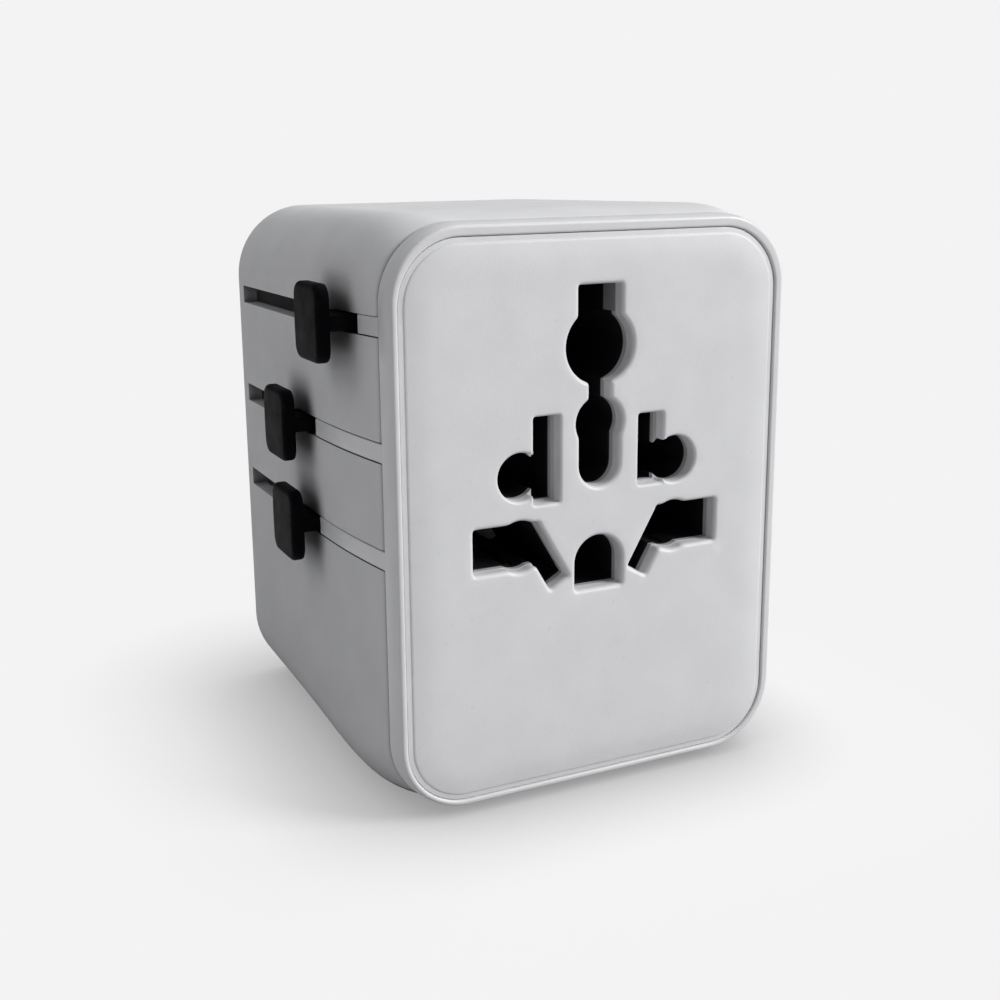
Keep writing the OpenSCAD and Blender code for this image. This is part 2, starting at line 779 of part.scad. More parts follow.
// British frame: arm, top bar, riser and the bar of the two lower pins.
module uk_carriage() color(black) {
    y1 = uk_rear;
    y0 = y1 - uk_bridge_t;
    half_bar = uk_bar_h / 2;
    difference() {
        union() {
            block_z([arm_x, uk_knob_y - stem_l / 2 - 0.3, uk_slot_z - arm_h / 2],
                    [arm_x + arm_t, y1, uk_slot_z + arm_h / 2]);
            block_z([arm_x, y0, uk_top_low], [side_x, y1, uk_top_high]);
            block_z([side_x - riser_w, y0, -half_bar], [side_x, y1, uk_top_high]);
            block_z([-uk_pin_x - uk_block_w / 2, y0, -half_bar], [side_x, y1, half_bar]);
            for (side = [-1, 1])
                block_z([side * uk_pin_x - uk_block_w / 2, y1 - uk_block_t, -half_bar],
                        [side * uk_pin_x + uk_block_w / 2, y1, half_bar]);
        }
        for (side = [-1, 1])
            block_z([side * uk_pin_x - uk_pin_w / 2, y1 - uk_block_t + 1, -uk_pin_t / 2],
                    [side * uk_pin_x + uk_pin_w / 2, y1 + 1, uk_pin_t / 2]);
        block_z([-uk_pin_t / 2, y0 + 0.6, uk_earth_rise - uk_earth_h / 2],
                [uk_pin_t / 2, y1 + 1, uk_earth_rise + uk_earth_h / 2]);
        mortise(uk_knob_y, uk_slot_z);
    }
}

// One British line or neutral pin with its necked, sleeved root.
module uk_line_pin(side) {
    neck = 0.4;
    sleeve_l = 9.5;
    root = uk_rear - uk_block_t + 1;
    tip = back + uk_pin_l - uk_travel;
    y1 = uk_rear;
    y2 = tip - uk_pin_l + sleeve_l;
    translate([side * uk_pin_x, 0, uk_z]) {
        block([-uk_pin_w / 2, root, -uk_pin_t / 2], [uk_pin_w / 2, y1, uk_pin_t / 2]);
        block([-uk_pin_w / 2 + neck, y1 - eps, -uk_pin_t / 2 + neck],
              [uk_pin_w / 2 - neck, y2 + eps, uk_pin_t / 2 - neck]);
        bar_pin(uk_pin_w, uk_pin_t, y2, tip);
    }
}

module uk_live_pin() color(nickel) uk_line_pin(1);
module uk_neutral_pin() color(nickel) uk_line_pin(-1);

// Black sleeves on the necks of the two British pins.
module uk_pin_sleeves() color(black) {
    neck = 0.4;
    y2 = back - uk_travel + 9.5;
    for (side = [-1, 1])
        translate([side * uk_pin_x, 0, uk_z]) difference() {
            block([-uk_pin_w / 2, uk_rear, -uk_pin_t / 2], [uk_pin_w / 2, y2, uk_pin_t / 2]);
            block([-uk_pin_w / 2 + neck, uk_rear - 1, -uk_pin_t / 2 + neck],
                  [uk_pin_w / 2 - neck, y2 + 1, uk_pin_t / 2 - neck]);
        }
}

module uk_earth_pin() color(nickel)
    translate([0, 0, uk_z + uk_earth_rise])
        bar_pin(uk_pin_t, uk_earth_h, uk_rear - uk_bridge_t + 0.6, back + uk_earth_l - uk_travel);

module uk_knob() color(black) knob(uk_knob_y, uk_slot_z);
module uk_latch_spring() color(steel) latch_leaf(uk_knob_y + 1, uk_slot_z + arm_h / 2);

// European block with its arm.
module eu_carriage() color(black) {
    y1 = eu_rear;
    y0 = y1 - eu_block_t;
    half_h = eu_block_h / 2;
    difference() {
        union() {
            block_z([-eu_block_w / 2, y0, eu_pin_z - half_h], [eu_block_w / 2, y1, eu_pin_z + half_h]);
            block_z([arm_x, y0, eu_slot_z - arm_h / 2],
                    [-eu_block_w / 2 + eps, y1, eu_slot_z + arm_h / 2]);
        }
        for (side = [-1, 1])
            translate([side * eu_pitch / 2, 0, uk_z + eu_pin_z])
                rod(eu_root_r + run_gap, y0 + 1, y1 + 1);
        mortise(eu_knob_y, eu_slot_z);
    }
}

// One round European pin with a coned tip.
module eu_pin(side) {
    tip = back + eu_pin_l - eu_travel;
    cone = 1.2;
    translate([side * eu_pitch / 2, 0, uk_z + eu_pin_z]) {
        rod(eu_root_r, eu_rear - eu_block_t + 1, eu_rear + eps);
        rod(eu_pin_r, eu_rear, tip - cone);
        translate([0, tip - cone, 0])
            rotate([-90, 0, 0]) cylinder(r1 = eu_pin_r, r2 = eu_pin_r - 0.8, h = cone);
    }
}

module eu_live_pin() color(nickel) eu_pin(1);
module eu_neutral_pin() color(nickel) eu_pin(-1);
module eu_knob() color(black) knob(eu_knob_y, eu_slot_z);
module eu_latch_spring() color(steel) latch_leaf(eu_knob_y + 1, eu_slot_z + arm_h / 2);

// American block with bores for the two turning hubs and a raised arm.
module us_carriage() color(black) {
    y1 = us_rear;
    y0 = y1 - us_block_t;
    arm_in = arm_x + 5;
    difference() {
        union() {
            block_z([-us_block_w / 2, y0, us_block_low], [us_block_w / 2, y1, us_block_high]);
            block_z([arm_x, y0, us_block_low + 4], [-us_block_w / 2 + eps, y1, us_block_high]);
            block_z([arm_x, y0, us_block_high - eps], [arm_in, y1, us_slot_z + arm_h / 2]);
        }
        for (side = [-1, 1])
            translate([side * us_pitch / 2, 0, uk_z + us_hub_z]) {
                rod(hub_r + run_gap, y0 - 1, y1 + 1);
                rod(hub_flange_r + run_gap, y0 - 1, y1 - hub_t + run_gap);
            }
        block_z([-us_block_w / 2 - 2, y0 - 1, us_block_low - 1],
                [us_block_w / 2 + 1, y0 + retainer_t, us_block_high - 1.2]);
        mortise(us_knob_y, us_slot_z);
    }
}

// Plate that keeps both hubs in the American block.
module us_retainer() color(black) {
    y0 = us_rear - us_block_t;
    difference() {
        block_z([-us_block_w / 2 + fit_gap, y0, us_block_low],
                [us_block_w / 2, y0 + retainer_t, us_block_high - 1.2 - fit_gap]);
        for (side = [-1, 1])
            translate([side * us_pitch / 2, 0, uk_z + us_hub_z])
                rod(hub_r - 1.4, y0 - 1, y0 + retainer_t + 1);
    }
}

// Round hub of one blade: barrel and flange, with the blade's slot through it.
module us_hub(side) {
    y0 = us_rear - us_block_t + retainer_t + run_gap;
    translate([side * us_pitch / 2, 0, uk_z + us_hub_z]) difference() {
        union() {
            rod(hub_r, y0, us_rear);
            rod(hub_flange_r, y0, us_rear - hub_t);
        }
        block([-us_blade_t / 2, y0 - 1, hub_offset - us_blade_w / 2],
              [us_blade_t / 2, us_rear + 1, hub_offset + us_blade_w / 2]);
    }
}

module us_live_hub() color(black) us_hub(1);
module us_neutral_hub() color(black) us_hub(-1);

// One flat blade; its middle lies above the hub's axis.
module us_blade(side) {
    y0 = us_rear - us_block_t + retainer_t + run_gap;
    tip = back + us_pin_l - us_travel;
    translate([side * us_pitch / 2, 0, uk_z + us_hub_z + hub_offset])
        difference() {
            bar_pin(us_blade_t + eps, us_blade_w, y0, tip);
            for (x = [-1, 1]) block([x * (us_blade_t + 1) / 2 - 0.5, y0 - 1, -us_blade_w],
                                    [x * (us_blade_t + 1) / 2 + 0.5, tip + 1, us_blade_w]);
        }
}

module us_live_blade() color(nickel) us_blade(1);
module us_neutral_blade() color(nickel) us_blade(-1);
module us_knob() color(black) knob(us_knob_y, us_slot_z);
module us_latch_spring() color(steel) latch_leaf(us_knob_y + 1, us_slot_z + arm_h / 2);

rear_housing();
front_bezel();
face_plate();
back_plate();
socket_core();
live_contact();
neutral_contact();
earth_contact();
ground_contact();
live_bus();
neutral_bus();
earth_link();
fuse();
fuse_clips();
fuse_holder();
fuse_cap();
fuse_link();
socket_screws();
back_screws();
uk_carriage();
uk_knob();
uk_live_pin();
uk_neutral_pin();
uk_earth_pin();
uk_pin_sleeves();
uk_latch_spring();
eu_carriage();
eu_knob();
eu_live_pin();
eu_neutral_pin();
eu_latch_spring();
us_carriage();
us_knob();
us_retainer();
us_live_hub();
us_neutral_hub();
us_live_blade();
us_neutral_blade();
us_latch_spring();
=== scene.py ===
import json
import math

import bmesh
import bpy
import numpy as np
from mathutils import Matrix, Vector, geometry


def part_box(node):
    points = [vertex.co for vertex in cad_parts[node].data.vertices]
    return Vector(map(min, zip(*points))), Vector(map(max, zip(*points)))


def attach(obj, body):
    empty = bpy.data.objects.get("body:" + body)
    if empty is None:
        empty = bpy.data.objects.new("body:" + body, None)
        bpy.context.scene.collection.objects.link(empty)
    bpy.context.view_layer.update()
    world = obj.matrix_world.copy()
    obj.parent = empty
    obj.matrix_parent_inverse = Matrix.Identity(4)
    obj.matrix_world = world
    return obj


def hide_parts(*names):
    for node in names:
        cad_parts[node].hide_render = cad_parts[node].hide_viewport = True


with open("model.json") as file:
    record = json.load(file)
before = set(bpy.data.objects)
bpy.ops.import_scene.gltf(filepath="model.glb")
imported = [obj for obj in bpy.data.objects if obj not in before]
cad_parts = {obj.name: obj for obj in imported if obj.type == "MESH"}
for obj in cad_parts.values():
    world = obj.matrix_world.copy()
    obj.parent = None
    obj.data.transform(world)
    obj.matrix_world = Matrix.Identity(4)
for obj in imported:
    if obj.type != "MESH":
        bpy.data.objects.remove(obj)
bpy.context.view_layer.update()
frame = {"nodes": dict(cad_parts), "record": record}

MM = 0.001                      # meshes are worked out in millimetres

# ---- sizes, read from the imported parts, in millimetres ----


def node_box(name):
    """Lowest and highest corner of a CAD part, in millimetres."""
    low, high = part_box(name)
    return np.array(low) / MM, np.array(high) / MM


house_low, house_high = node_box("rear_housing")
plate_low, plate_high = node_box("face_plate")
live_low, live_high = node_box("uk_live_pin")

BODY_W = house_high[0] - house_low[0]
BODY_H = house_high[2] - house_low[2]
MID_Z = (house_low[2] + house_high[2]) / 2
FRONT = plate_low[1]
SEAM = house_low[1]
BACK = house_high[1]
PLATE_BACK = plate_high[1]
LINE_Z = (live_low[2] + live_high[2]) / 2      # height of the British line and neutral pins

# Housing
SWELL = 1.3                     # how far the housing swells out behind the seam
SWELL_L = 17                    # depth over which it does so
CORNER = 9
WALL = 1.8
REAR_R = 1.6                    # round of the rear edge
RIM_IN = 2.4                    # width of the rear rim
RIM_T = 1.2                     # its thickness
SEAM_W = BODY_W - 2 * SWELL
SEAM_H = BODY_H - 1.85          # upright the housing swells less, and more quickly
SEAM_Z = MID_Z + 0.02
QUICK_L = 9
SLOT_H = 2.2                    # height of the knobs' slots
SLOT_END = BACK - 3.4

# Bezel and face panel
LIP_R = 0.24                    # inner edge of the bezel's narrow rim
NOSE_R = 0.36                   # outer edge of the rim
RIM_Y = FRONT + 0.2
FACE_W = plate_high[0] - plate_low[0] + 0.4
FACE_H = plate_high[2] - plate_low[2] + 1.1
FACE_R = 6.8
FACE_X = -0.15
FACE_Z = MID_Z - 0.2
GAP = 0.04                      # between the bezel's rim and the face panel
LEDGE = 0.6                     # low border round the raised middle of the face
RISE = 0.14                     # height of that middle over the border
CROWN = 0.32                    # how far the face falls away at its edge
CROWN_L = 3.2                   # width over which it does so
HOLE_SOFT = 0.5                 # round of most holes' edges
HOLE_NARROW = 0.38              # round where a hole has a sharp notch
HOLE_IN = 0.14                  # how far the soft holes are drawn in

# Middle height of each knob's slot, and the rear end of the tongue that closes its front
SLOTS = {"uk": LINE_Z + 23.7, "eu": LINE_Z + 10.9, "us": LINE_Z - 0.4}
TONGUES = {"uk": -18.25, "eu": -5.6, "us": -5.9}

# Places of pins, screws and fuse; sections of pins, width by height
UK_X = 11.1
EARTH_Z = LINE_Z + 22.2
EU_X = 9.5
EU_Z = LINE_Z + 10.9
US_X = 6.35
US_Z = LINE_Z - 13.5            # axis of the twisting hubs
BLADE_UP = 1.0                  # how far the blades' middle lies over that axis
BOSS_X = BODY_W / 2 - 8.2
BOSS_Z = 5.0
SCREWS = [(x, z) for x in (-BOSS_X, BOSS_X) for z in (BOSS_Z, 2 * MID_Z - BOSS_Z)]
FUSE_X = 9.0
FUSE_Z = 6.1
UK_PIN = (6.35, 4.0)
UK_EARTH = (4.0, 7.95)
EU_PIN_R = 2.0
US_BLADE = (1.5, 6.35)
SCREW_R = 1.1
SCREW_BORE = 1.2
BOSS_R = 2.4
HUB_HOLE_R = 4.6
CAP_R = 3.2                     # fuse cap


# ---- mesh making ----


def quads(m, n, close_m=False, close_n=False):
    """Faces of an m by n grid of points; a closed direction joins its last line to its first."""
    i = np.arange(m if close_m else m - 1)[:, None]
    j = np.arange(n if close_n else n - 1)[None, :]
    i2, j2 = (i + 1) % m, (j + 1) % n
    return np.stack([i * n + j, i * n + j2, i2 * n + j2, i2 * n + j], -1).reshape(-1, 4)


def fan(n, first=0):
    """One face through n points in a row."""
    return [list(range(first, first + n))]


WELD = 0.0015                   # points closer than this are one


def piece(name, patches, material, body, nodes=(), sharp=38, bevel=0.0):
    """Mesh from patches of points and faces: points that meet are merged, faces turned outwards.
    It rides a body and stands in for the named CAD nodes; bevel softens its sharp edges."""
    points, faces, base = [], [], 0
    for verts, cells in patches:
        verts = np.asarray(verts, float).reshape(-1, 3)
        points.append(verts)
        cells = cells.tolist() if isinstance(cells, np.ndarray) else cells
        faces += [[v + base for v in c] for c in cells]
        base += len(verts)
    mesh = bpy.data.meshes.new(name)
    mesh.from_pydata((np.concatenate(points) * MM).tolist(), [], faces)
    bm = bmesh.new()
    bm.from_mesh(mesh)
    bmesh.ops.remove_doubles(bm, verts=bm.verts, dist=WELD * MM)
    bmesh.ops.dissolve_degenerate(bm, edges=bm.edges, dist=WELD * MM * 0.5)
    bmesh.ops.recalc_face_normals(bm, faces=bm.faces)
    bm.to_mesh(mesh)
    bm.free()
    mesh.shade_smooth()
    mesh.set_sharp_from_angle(angle=math.radians(sharp))
    obj = bpy.data.objects.new(name, mesh)
    bpy.context.scene.collection.objects.link(obj)
    mesh.materials.append(material)
    if bevel:
        mod = obj.modifiers.new("edge", "BEVEL")
        mod.width = bevel * MM
        mod.segments = 3
        mod.limit_method = "ANGLE"
        mod.angle_limit = math.radians(50)
    mod = obj.modifiers.new("normals", "WEIGHTED_NORMAL")
    mod.keep_sharp = True
    mod.weight = 60
    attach(obj, body)
    if nodes:
        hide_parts(*nodes)
    return obj


def outline(w, h, r, arc=14, side=10, left=None):
    """Rectangle with round corners in X and Z, anticlockwise: each corner's centre plus
    r (cos a, sin a), with even points on the straight runs, or the heights in left."""
    a = np.linspace(0, np.pi / 2, arc)
    cx, cz = w / 2 - r, h / 2 - r
    t = np.linspace(0, 1, side + 2)[1:-1]

    def corner(sx, sz, turn):
        return np.c_[sx * cx + r * np.cos(a + turn), sz * cz + r * np.sin(a + turn)]

    across, up = cx * (1 - 2 * t), cz * (1 - 2 * t)
    zs = up if left is None else np.asarray(left)
    return np.concatenate([
        corner(1, 1, 0), np.c_[across, np.full(side, h / 2)],
        corner(-1, 1, np.pi / 2), np.c_[np.full(len(zs), -w / 2), zs],
        corner(-1, -1, np.pi), np.c_[-across, np.full(side, -h / 2)],
        corner(1, -1, 1.5 * np.pi), np.c_[np.full(side, w / 2), -up]])


def lift(flat, y, z=0.0, x=0.0):
    """Points drawn in X and Z, set at depth y and moved up by z."""
    y = np.broadcast_to(y, len(flat))
    return np.c_[flat[:, 0] + x, y, flat[:, 1] + z]


def loft(rows, closed=False):
    """Grid through rows of equal length; open ends get a face each."""
    grid = np.stack(rows)
    m, n = grid.shape[:2]
    cells = quads(m, n, closed, True).tolist()
    if not closed:
        cells += fan(n) + fan(n, (m - 1) * n)
    return grid.reshape(-1, 3), cells


def round_steps(radius, steps=5):
    """Quarter turn: pairs of how far in from the side and how far down from the top."""
    a = np.linspace(0, np.pi / 2, steps)
    return np.c_[radius * (1 - np.sin(a)), radius * (1 - np.cos(a))]


def exit_of(shape, centre, d):
    """How far a ray from centre along each unit vector of d runs before it leaves the shape,
    a circle (x, z, r) or a turned box (x, z, half width, half height, degrees)."""
    if len(shape) == 3:
        o = centre - np.array(shape[:2])
        b = d @ o
        return -b + np.sqrt(np.maximum(b * b - o @ o + shape[2] ** 2, 0))
    x, z, hw, hh, turn = shape
    c, s = np.cos(np.radians(turn)), np.sin(np.radians(turn))
    frame_2d = np.array([[c, s], [-s, c]])
    o, v = frame_2d @ (centre - np.array([x, z])), d @ frame_2d.T
    v = np.where(np.abs(v) < 1e-9, 1e-9, v)
    across = (np.sign(v[:, 0]) * hw - o[0]) / v[:, 0]
    upright = (np.sign(v[:, 1]) * hh - o[1]) / v[:, 1]
    return np.minimum(across, upright)


def star(centre, shapes, rays=2400):
    """Outline of shapes that all hold centre: along each ray, the farthest exit of any shape."""
    centre = np.array(centre, float)
    a = np.radians(np.linspace(0, 360, rays, endpoint=False))
    d = np.c_[np.cos(a), np.sin(a)]
    far = np.max([exit_of(s, centre, d) for s in shapes], axis=0)
    return centre + d * far[:, None]


def even(loop, step=0.16, soften=0.2):
    """The same closed line with points at even distances, its corners rounded by averaging
    each point with its neighbours, weighted by a bell curve of width soften."""
    closed = np.vstack([loop, loop[:1]])
    run = np.r_[0, np.cumsum(np.linalg.norm(np.diff(closed, axis=0), axis=1))]
    n = int(round(run[-1] / step / 4)) * 4
    at = np.linspace(0, run[-1], n * 4, endpoint=False)
    fine = np.c_[np.interp(at, run, closed[:, 0]), np.interp(at, run, closed[:, 1])]
    dist = np.minimum(np.arange(n * 4), n * 4 - np.arange(n * 4)) * run[-1] / (n * 4)
    bell = np.exp(-0.5 * (dist / soften) ** 2)
    bell /= bell.sum()
    smooth = np.fft.ifft(np.fft.fft(fine, axis=0) * np.fft.fft(bell)[:, None], axis=0).real
    return smooth[::4]


def grown(loop, by):
    """A closed line moved outwards along its own normals."""
    along = np.roll(loop, -1, 0) - np.roll(loop, 1, 0)
    along /= np.linalg.norm(along, axis=1)[:, None]
    side = np.c_[along[:, 1], -along[:, 0]]
    area = 0.5 * np.sum(loop[:, 0] * np.roll(loop[:, 1], -1) - np.roll(loop[:, 0], -1) * loop[:, 1])
    return loop + side * by * np.sign(area)


def inside(points, loop):
    """Whether each point lies in a closed line, by counting how often a level ray crosses it."""
    a, b = loop, np.roll(loop, -1, 0)
    x, z = points[:, 0][:, None], points[:, 1][:, None]
    over = (a[:, 1] > z) != (b[:, 1] > z)
    fall = np.where(b[:, 1] == a[:, 1], 1, b[:, 1] - a[:, 1])
    cross = a[:, 0] + (z - a[:, 1]) / fall * (b[:, 0] - a[:, 0])
    return (np.sum(over & (x < cross), axis=1) % 2).astype(bool)


def sheet_cells(outer, holes, pitch):
    """Triangles that fill a line with holes, over its points and an inner grid of that pitch."""
    loops = [outer] + list(holes)
    points = np.concatenate(loops)
    edges, base = [], 0
    for loop in loops:
        k = np.arange(len(loop))
        edges.append(np.c_[k, (k + 1) % len(loop)] + base)
        base += len(loop)
    if pitch:
        low, high = outer.min(0), outer.max(0)
        gx, gz = np.meshgrid(*(np.arange(a, b, pitch) for a, b in zip(low, high)))
        extra = np.c_[gx.ravel(), gz.ravel()] + pitch * 0.37
        keep = inside(extra, grown(outer, -pitch * 0.5))
        for hole in holes:
            keep &= ~inside(extra, grown(hole, pitch * 0.35))
        points = np.vstack([points, extra[keep]])
    made = geometry.delaunay_2d_cdt([Vector(p) for p in points], np.concatenate(edges).tolist(),
                                    [], 1, 1e-6)
    flat = np.array([list(v) for v in made[0]])
    cells = np.array(made[2])
    mid = flat[cells].mean(axis=1)
    keep = inside(mid, outer)
    for hole in holes:
        keep &= ~inside(mid, hole)
    return flat, cells[keep]


def plate(outer, holes, top, bottom, outer_steps, hole_steps, pockets=(), pitch=0, height=None):
    """Plate between depths top and bottom: a filled outline, rounded walls down every edge, and
    the same filling underneath. Steps are pairs of inset and depth; height bends the top and
    fades out towards the bottom. A hole may bring steps of its own; pockets are blind holes."""
    height = height or (lambda p: np.zeros(len(p)))
    holes = [h if isinstance(h, tuple) else (h, hole_steps) for h in holes]
    mouths = [grown(h, steps[0][0]) for h, steps in holes]
    mouths += [grown(p, hole_steps[0][0]) for p, _ in pockets]
    flat, cells = sheet_cells(grown(outer, -outer_steps[0][0]), mouths, pitch)
    patches = [(lift(flat, top + height(flat)), cells)]

    def wall(loop, steps, sign, end):
        rows = [grown(loop, sign * inset) for inset, _ in steps]
        grid = [lift(row, top + down + height(row) * (1 - down / (bottom - top)))
                for (_, down), row in zip(steps, rows)]
        grid = np.stack(grid + [lift(rows[-1], end)])
        return grid.reshape(-1, 3), quads(*grid.shape[:2], False, True)

    patches.append(wall(outer, outer_steps, -1, bottom))
    patches += [wall(h, steps, 1, bottom) for h, steps in holes]
    floors = [grown(h, steps[-1][0]) for h, steps in holes]
    flat, cells = sheet_cells(grown(outer, -outer_steps[-1][0]), floors, 0)
    patches.append((lift(flat, bottom), cells))
    for loop, depth in pockets:
        patches.append(wall(loop, hole_steps, 1, depth))
        flat, cells = sheet_cells(grown(loop, hole_steps[-1][0]), [], 0)
        patches.append((lift(flat, depth), cells))
    return patches


def moved(patches, x=0.0, y=0.0, z=0.0):
    """The same patches somewhere else."""
    return [(np.asarray(v) + [x, y, z], f) for v, f in patches]


def reversed_depth(patches):
    """The same patches with depth counted from the back."""
    return [(np.asarray(v) * [1, -1, 1], f) for v, f in patches]


def sideways(patches):
    """The same patches with depth laid along X and width along Y."""
    return [(np.asarray(v)[:, [1, 0, 2]], f) for v, f in patches]


def ring(r, n=48):
    """Circle in X and Z."""
    a = np.linspace(0, 2 * np.pi, n, endpoint=False)
    return np.c_[r * np.cos(a), r * np.sin(a)]


def turned(profile, x=0.0, z=0.0, closed=False, n=48):
    """Round piece along Y: a circle for every depth and radius of the profile."""
    return loft([lift(ring(r, n), y, z, x) for y, r in profile], closed)


def bar(w, h, r, stops, x=0.0, z=0.0):
    """Bar along Y with rounded edges: at each stop's depth its section is drawn in by the inset,
    or by two insets, across and upright."""
    rows = []
    for stop in stops:
        y, i, k = stop[0], stop[1], stop[-1]
        rows.append(lift(outline(w - 2 * i, h - 2 * k, max(r - i, 0.05), 6, 3), y, z, x))
    return loft(rows)


def soft_ends(y0, y1, r):
    """Stops of a bar whose two end edges are quarter turns of radius r."""
    steps = round_steps(r, 4)
    return [(y0 + y, i) for y, i in steps[::-1]] + [(y1 - y, i) for y, i in steps]


# ---- finishes ----


EDGE_FROM, EDGE_TO = 0.515, 0.56       # Pointiness at which wear starts and is full
GAP_SHADE_REACH = 0.0028                   # metres within which painted shade darkens a surface in a gap
GRAIN_DEPTH = 0.00004                  # metres
STEP = 0.05                            # width in mm of the change between two colours


def material(name, colour, rough, grain=0.0, grain_scale=7000, metallic=0.0, mottle=0.03,
             wear=0.0, wear_colour=None, specks=0.0, streak=None, split=None, specular=0.5,
             gap_shade=0.0):
    """Finish with mottled colour, uneven gloss, a fine grain and rubbed edges, all in object space.
    split gives a second colour and the depth behind which it starts, then a third colour, the
    depth that it reaches and the height above which it holds. gap_shade paints shade into tight
    gaps: an occlusion node darkens the colour there."""
    mat = bpy.data.materials.new(name)
    mat.use_nodes = True
    nodes, links = mat.node_tree.nodes, mat.node_tree.links
    nodes.clear()
    out = nodes.new("ShaderNodeOutputMaterial")
    shader = nodes.new("ShaderNodeBsdfPrincipled")
    links.new(shader.outputs["BSDF"], out.inputs["Surface"])
    shader.inputs["Metallic"].default_value = metallic
    shader.inputs["Specular IOR Level"].default_value = specular
    place = nodes.new("ShaderNodeTexCoord")
    mapping = nodes.new("ShaderNodeMapping")
    mapping.inputs["Scale"].default_value = streak or (1, 1, 1)
    links.new(place.outputs["Object"], mapping.inputs["Vector"])

    def noise(scale, detail=3.0, source=mapping):
        n = nodes.new("ShaderNodeTexNoise")
        n.inputs["Scale"].default_value = scale
        n.inputs["Detail"].default_value = detail
        links.new(source.outputs[0 if source is mapping else "Object"], n.inputs["Vector"])
        return n.outputs["Fac"]

    def remap(value, low, high, to_low, to_high):
        n = nodes.new("ShaderNodeMapRange")
        for key, number in {"From Min": low, "From Max": high, "To Min": to_low,
                            "To Max": to_high}.items():
            n.inputs[key].default_value = number
        links.new(value, n.inputs["Value"])
        return n.outputs["Result"]

    def mix(factor, first, second):
        n = nodes.new("ShaderNodeMix")
        n.data_type = "RGBA"
        for key, value in {"Factor": factor, "A": first, "B": second}.items():
            socket = n.inputs[key]
            if isinstance(value, (tuple, list)):
                socket.default_value = (*value, 1)
            elif isinstance(value, (int, float)):
                socket.default_value = value
            else:
                links.new(value, socket)
        return n.outputs["Result"]

    def times(first, second):
        n = nodes.new("ShaderNodeMath")
        n.operation = "MULTIPLY"
        links.new(first, n.inputs[0])
        links.new(second, n.inputs[1])
        return n.outputs[0]

    low = tuple(c * (1 - mottle) for c in colour)
    high = tuple(min(1.0, c * (1 + mottle)) for c in colour)
    shade = mix(remap(noise(160, 4), 0.3, 0.7, 0, 1), low, high)
    if split:
        second, start, third, reach, above = split
        axes = nodes.new("ShaderNodeSeparateXYZ")
        links.new(place.outputs["Object"], axes.inputs["Vector"])
        shade = mix(remap(axes.outputs["Y"], start * MM, (start + STEP) * MM, 0, 1), shade, second)
        # The third colour is painted shade: it holds above a height and in front of a depth.
        high_up = remap(axes.outputs["Z"], above * MM, (above + STEP) * MM, 0, 1)
        in_front = remap(axes.outputs["Y"], reach * MM, (reach + STEP) * MM, 1, 0)
        shade = mix(times(high_up, in_front), shade, third)
    gloss = remap(noise(420, 5), 0.3, 0.7, rough - 0.06, rough + 0.06)
    if wear:
        edge = nodes.new("ShaderNodeNewGeometry").outputs["Pointiness"]
        rub = times(remap(edge, EDGE_FROM, EDGE_TO, 0, 1), remap(noise(600, 4), 0.35, 0.6, 0, wear))
        shade = mix(rub, shade, wear_colour)
        smoother = nodes.new("ShaderNodeMath")
        smoother.operation = "MULTIPLY_ADD"
        links.new(rub, smoother.inputs[0])
        smoother.inputs[1].default_value = -0.12
        links.new(gloss, smoother.inputs[2])
        gloss = smoother.outputs[0]
    if specks:
        dark = tuple(c * 0.45 for c in colour)
        shade = mix(remap(noise(1400, 1, place), 0.77, 0.79, 0, specks), shade, dark)
    # Painted shade: an occlusion node darkens the colour in tight gaps, inside the slots, in the
    # seam and round the knobs.
    if gap_shade:
        near = nodes.new("ShaderNodeAmbientOcclusion")
        near.inputs["Distance"].default_value = GAP_SHADE_REACH
        near.samples = 6
        shade_dark = tuple(c * (1 - gap_shade) for c in colour)
        shade = mix(remap(near.outputs["AO"], 0.42, 0.98, 0, 1), shade_dark, shade)
    links.new(shade, shader.inputs["Base Color"])
    links.new(gloss, shader.inputs["Roughness"])
    if grain:
        bump = nodes.new("ShaderNodeBump")
        bump.inputs["Strength"].default_value = grain
        bump.inputs["Distance"].default_value = GRAIN_DEPTH
        links.new(noise(grain_scale, 3), bump.inputs["Height"])
        links.new(bump.outputs["Normal"], shader.inputs["Normal"])
    return mat


WHITE = (0.735, 0.735, 0.75)
RUBBED_WHITE = (0.80, 0.80, 0.81)
BLACK = (0.0022, 0.0022, 0.0034)
INNER_BLACK = (0.006, 0.006, 0.007)

# The shell's colour is darkened in its gaps, its slots and round the knobs as painted shade.
white_shell = material("shell_plastic", WHITE, 0.70, specular=0.12, gap_shade=0.93, grain=0.22,
                       wear=0.35, specks=0.12, wear_colour=RUBBED_WHITE)
white_bezel = material("bezel_plastic", WHITE, 0.38, grain=0.22, wear=0.35, specks=0.12,
                       wear_colour=RUBBED_WHITE)
white_face = material("face_plastic", (0.74, 0.74, 0.755), 0.44, grain=0.30, grain_scale=5200,
                      wear=0.35, specks=0.12, wear_colour=(0.90, 0.90, 0.91))
white_back = material("back_plastic", (0.73, 0.73, 0.745), 0.46, grain=0.35, grain_scale=4500,
                      wear=0.3, wear_colour=RUBBED_WHITE)
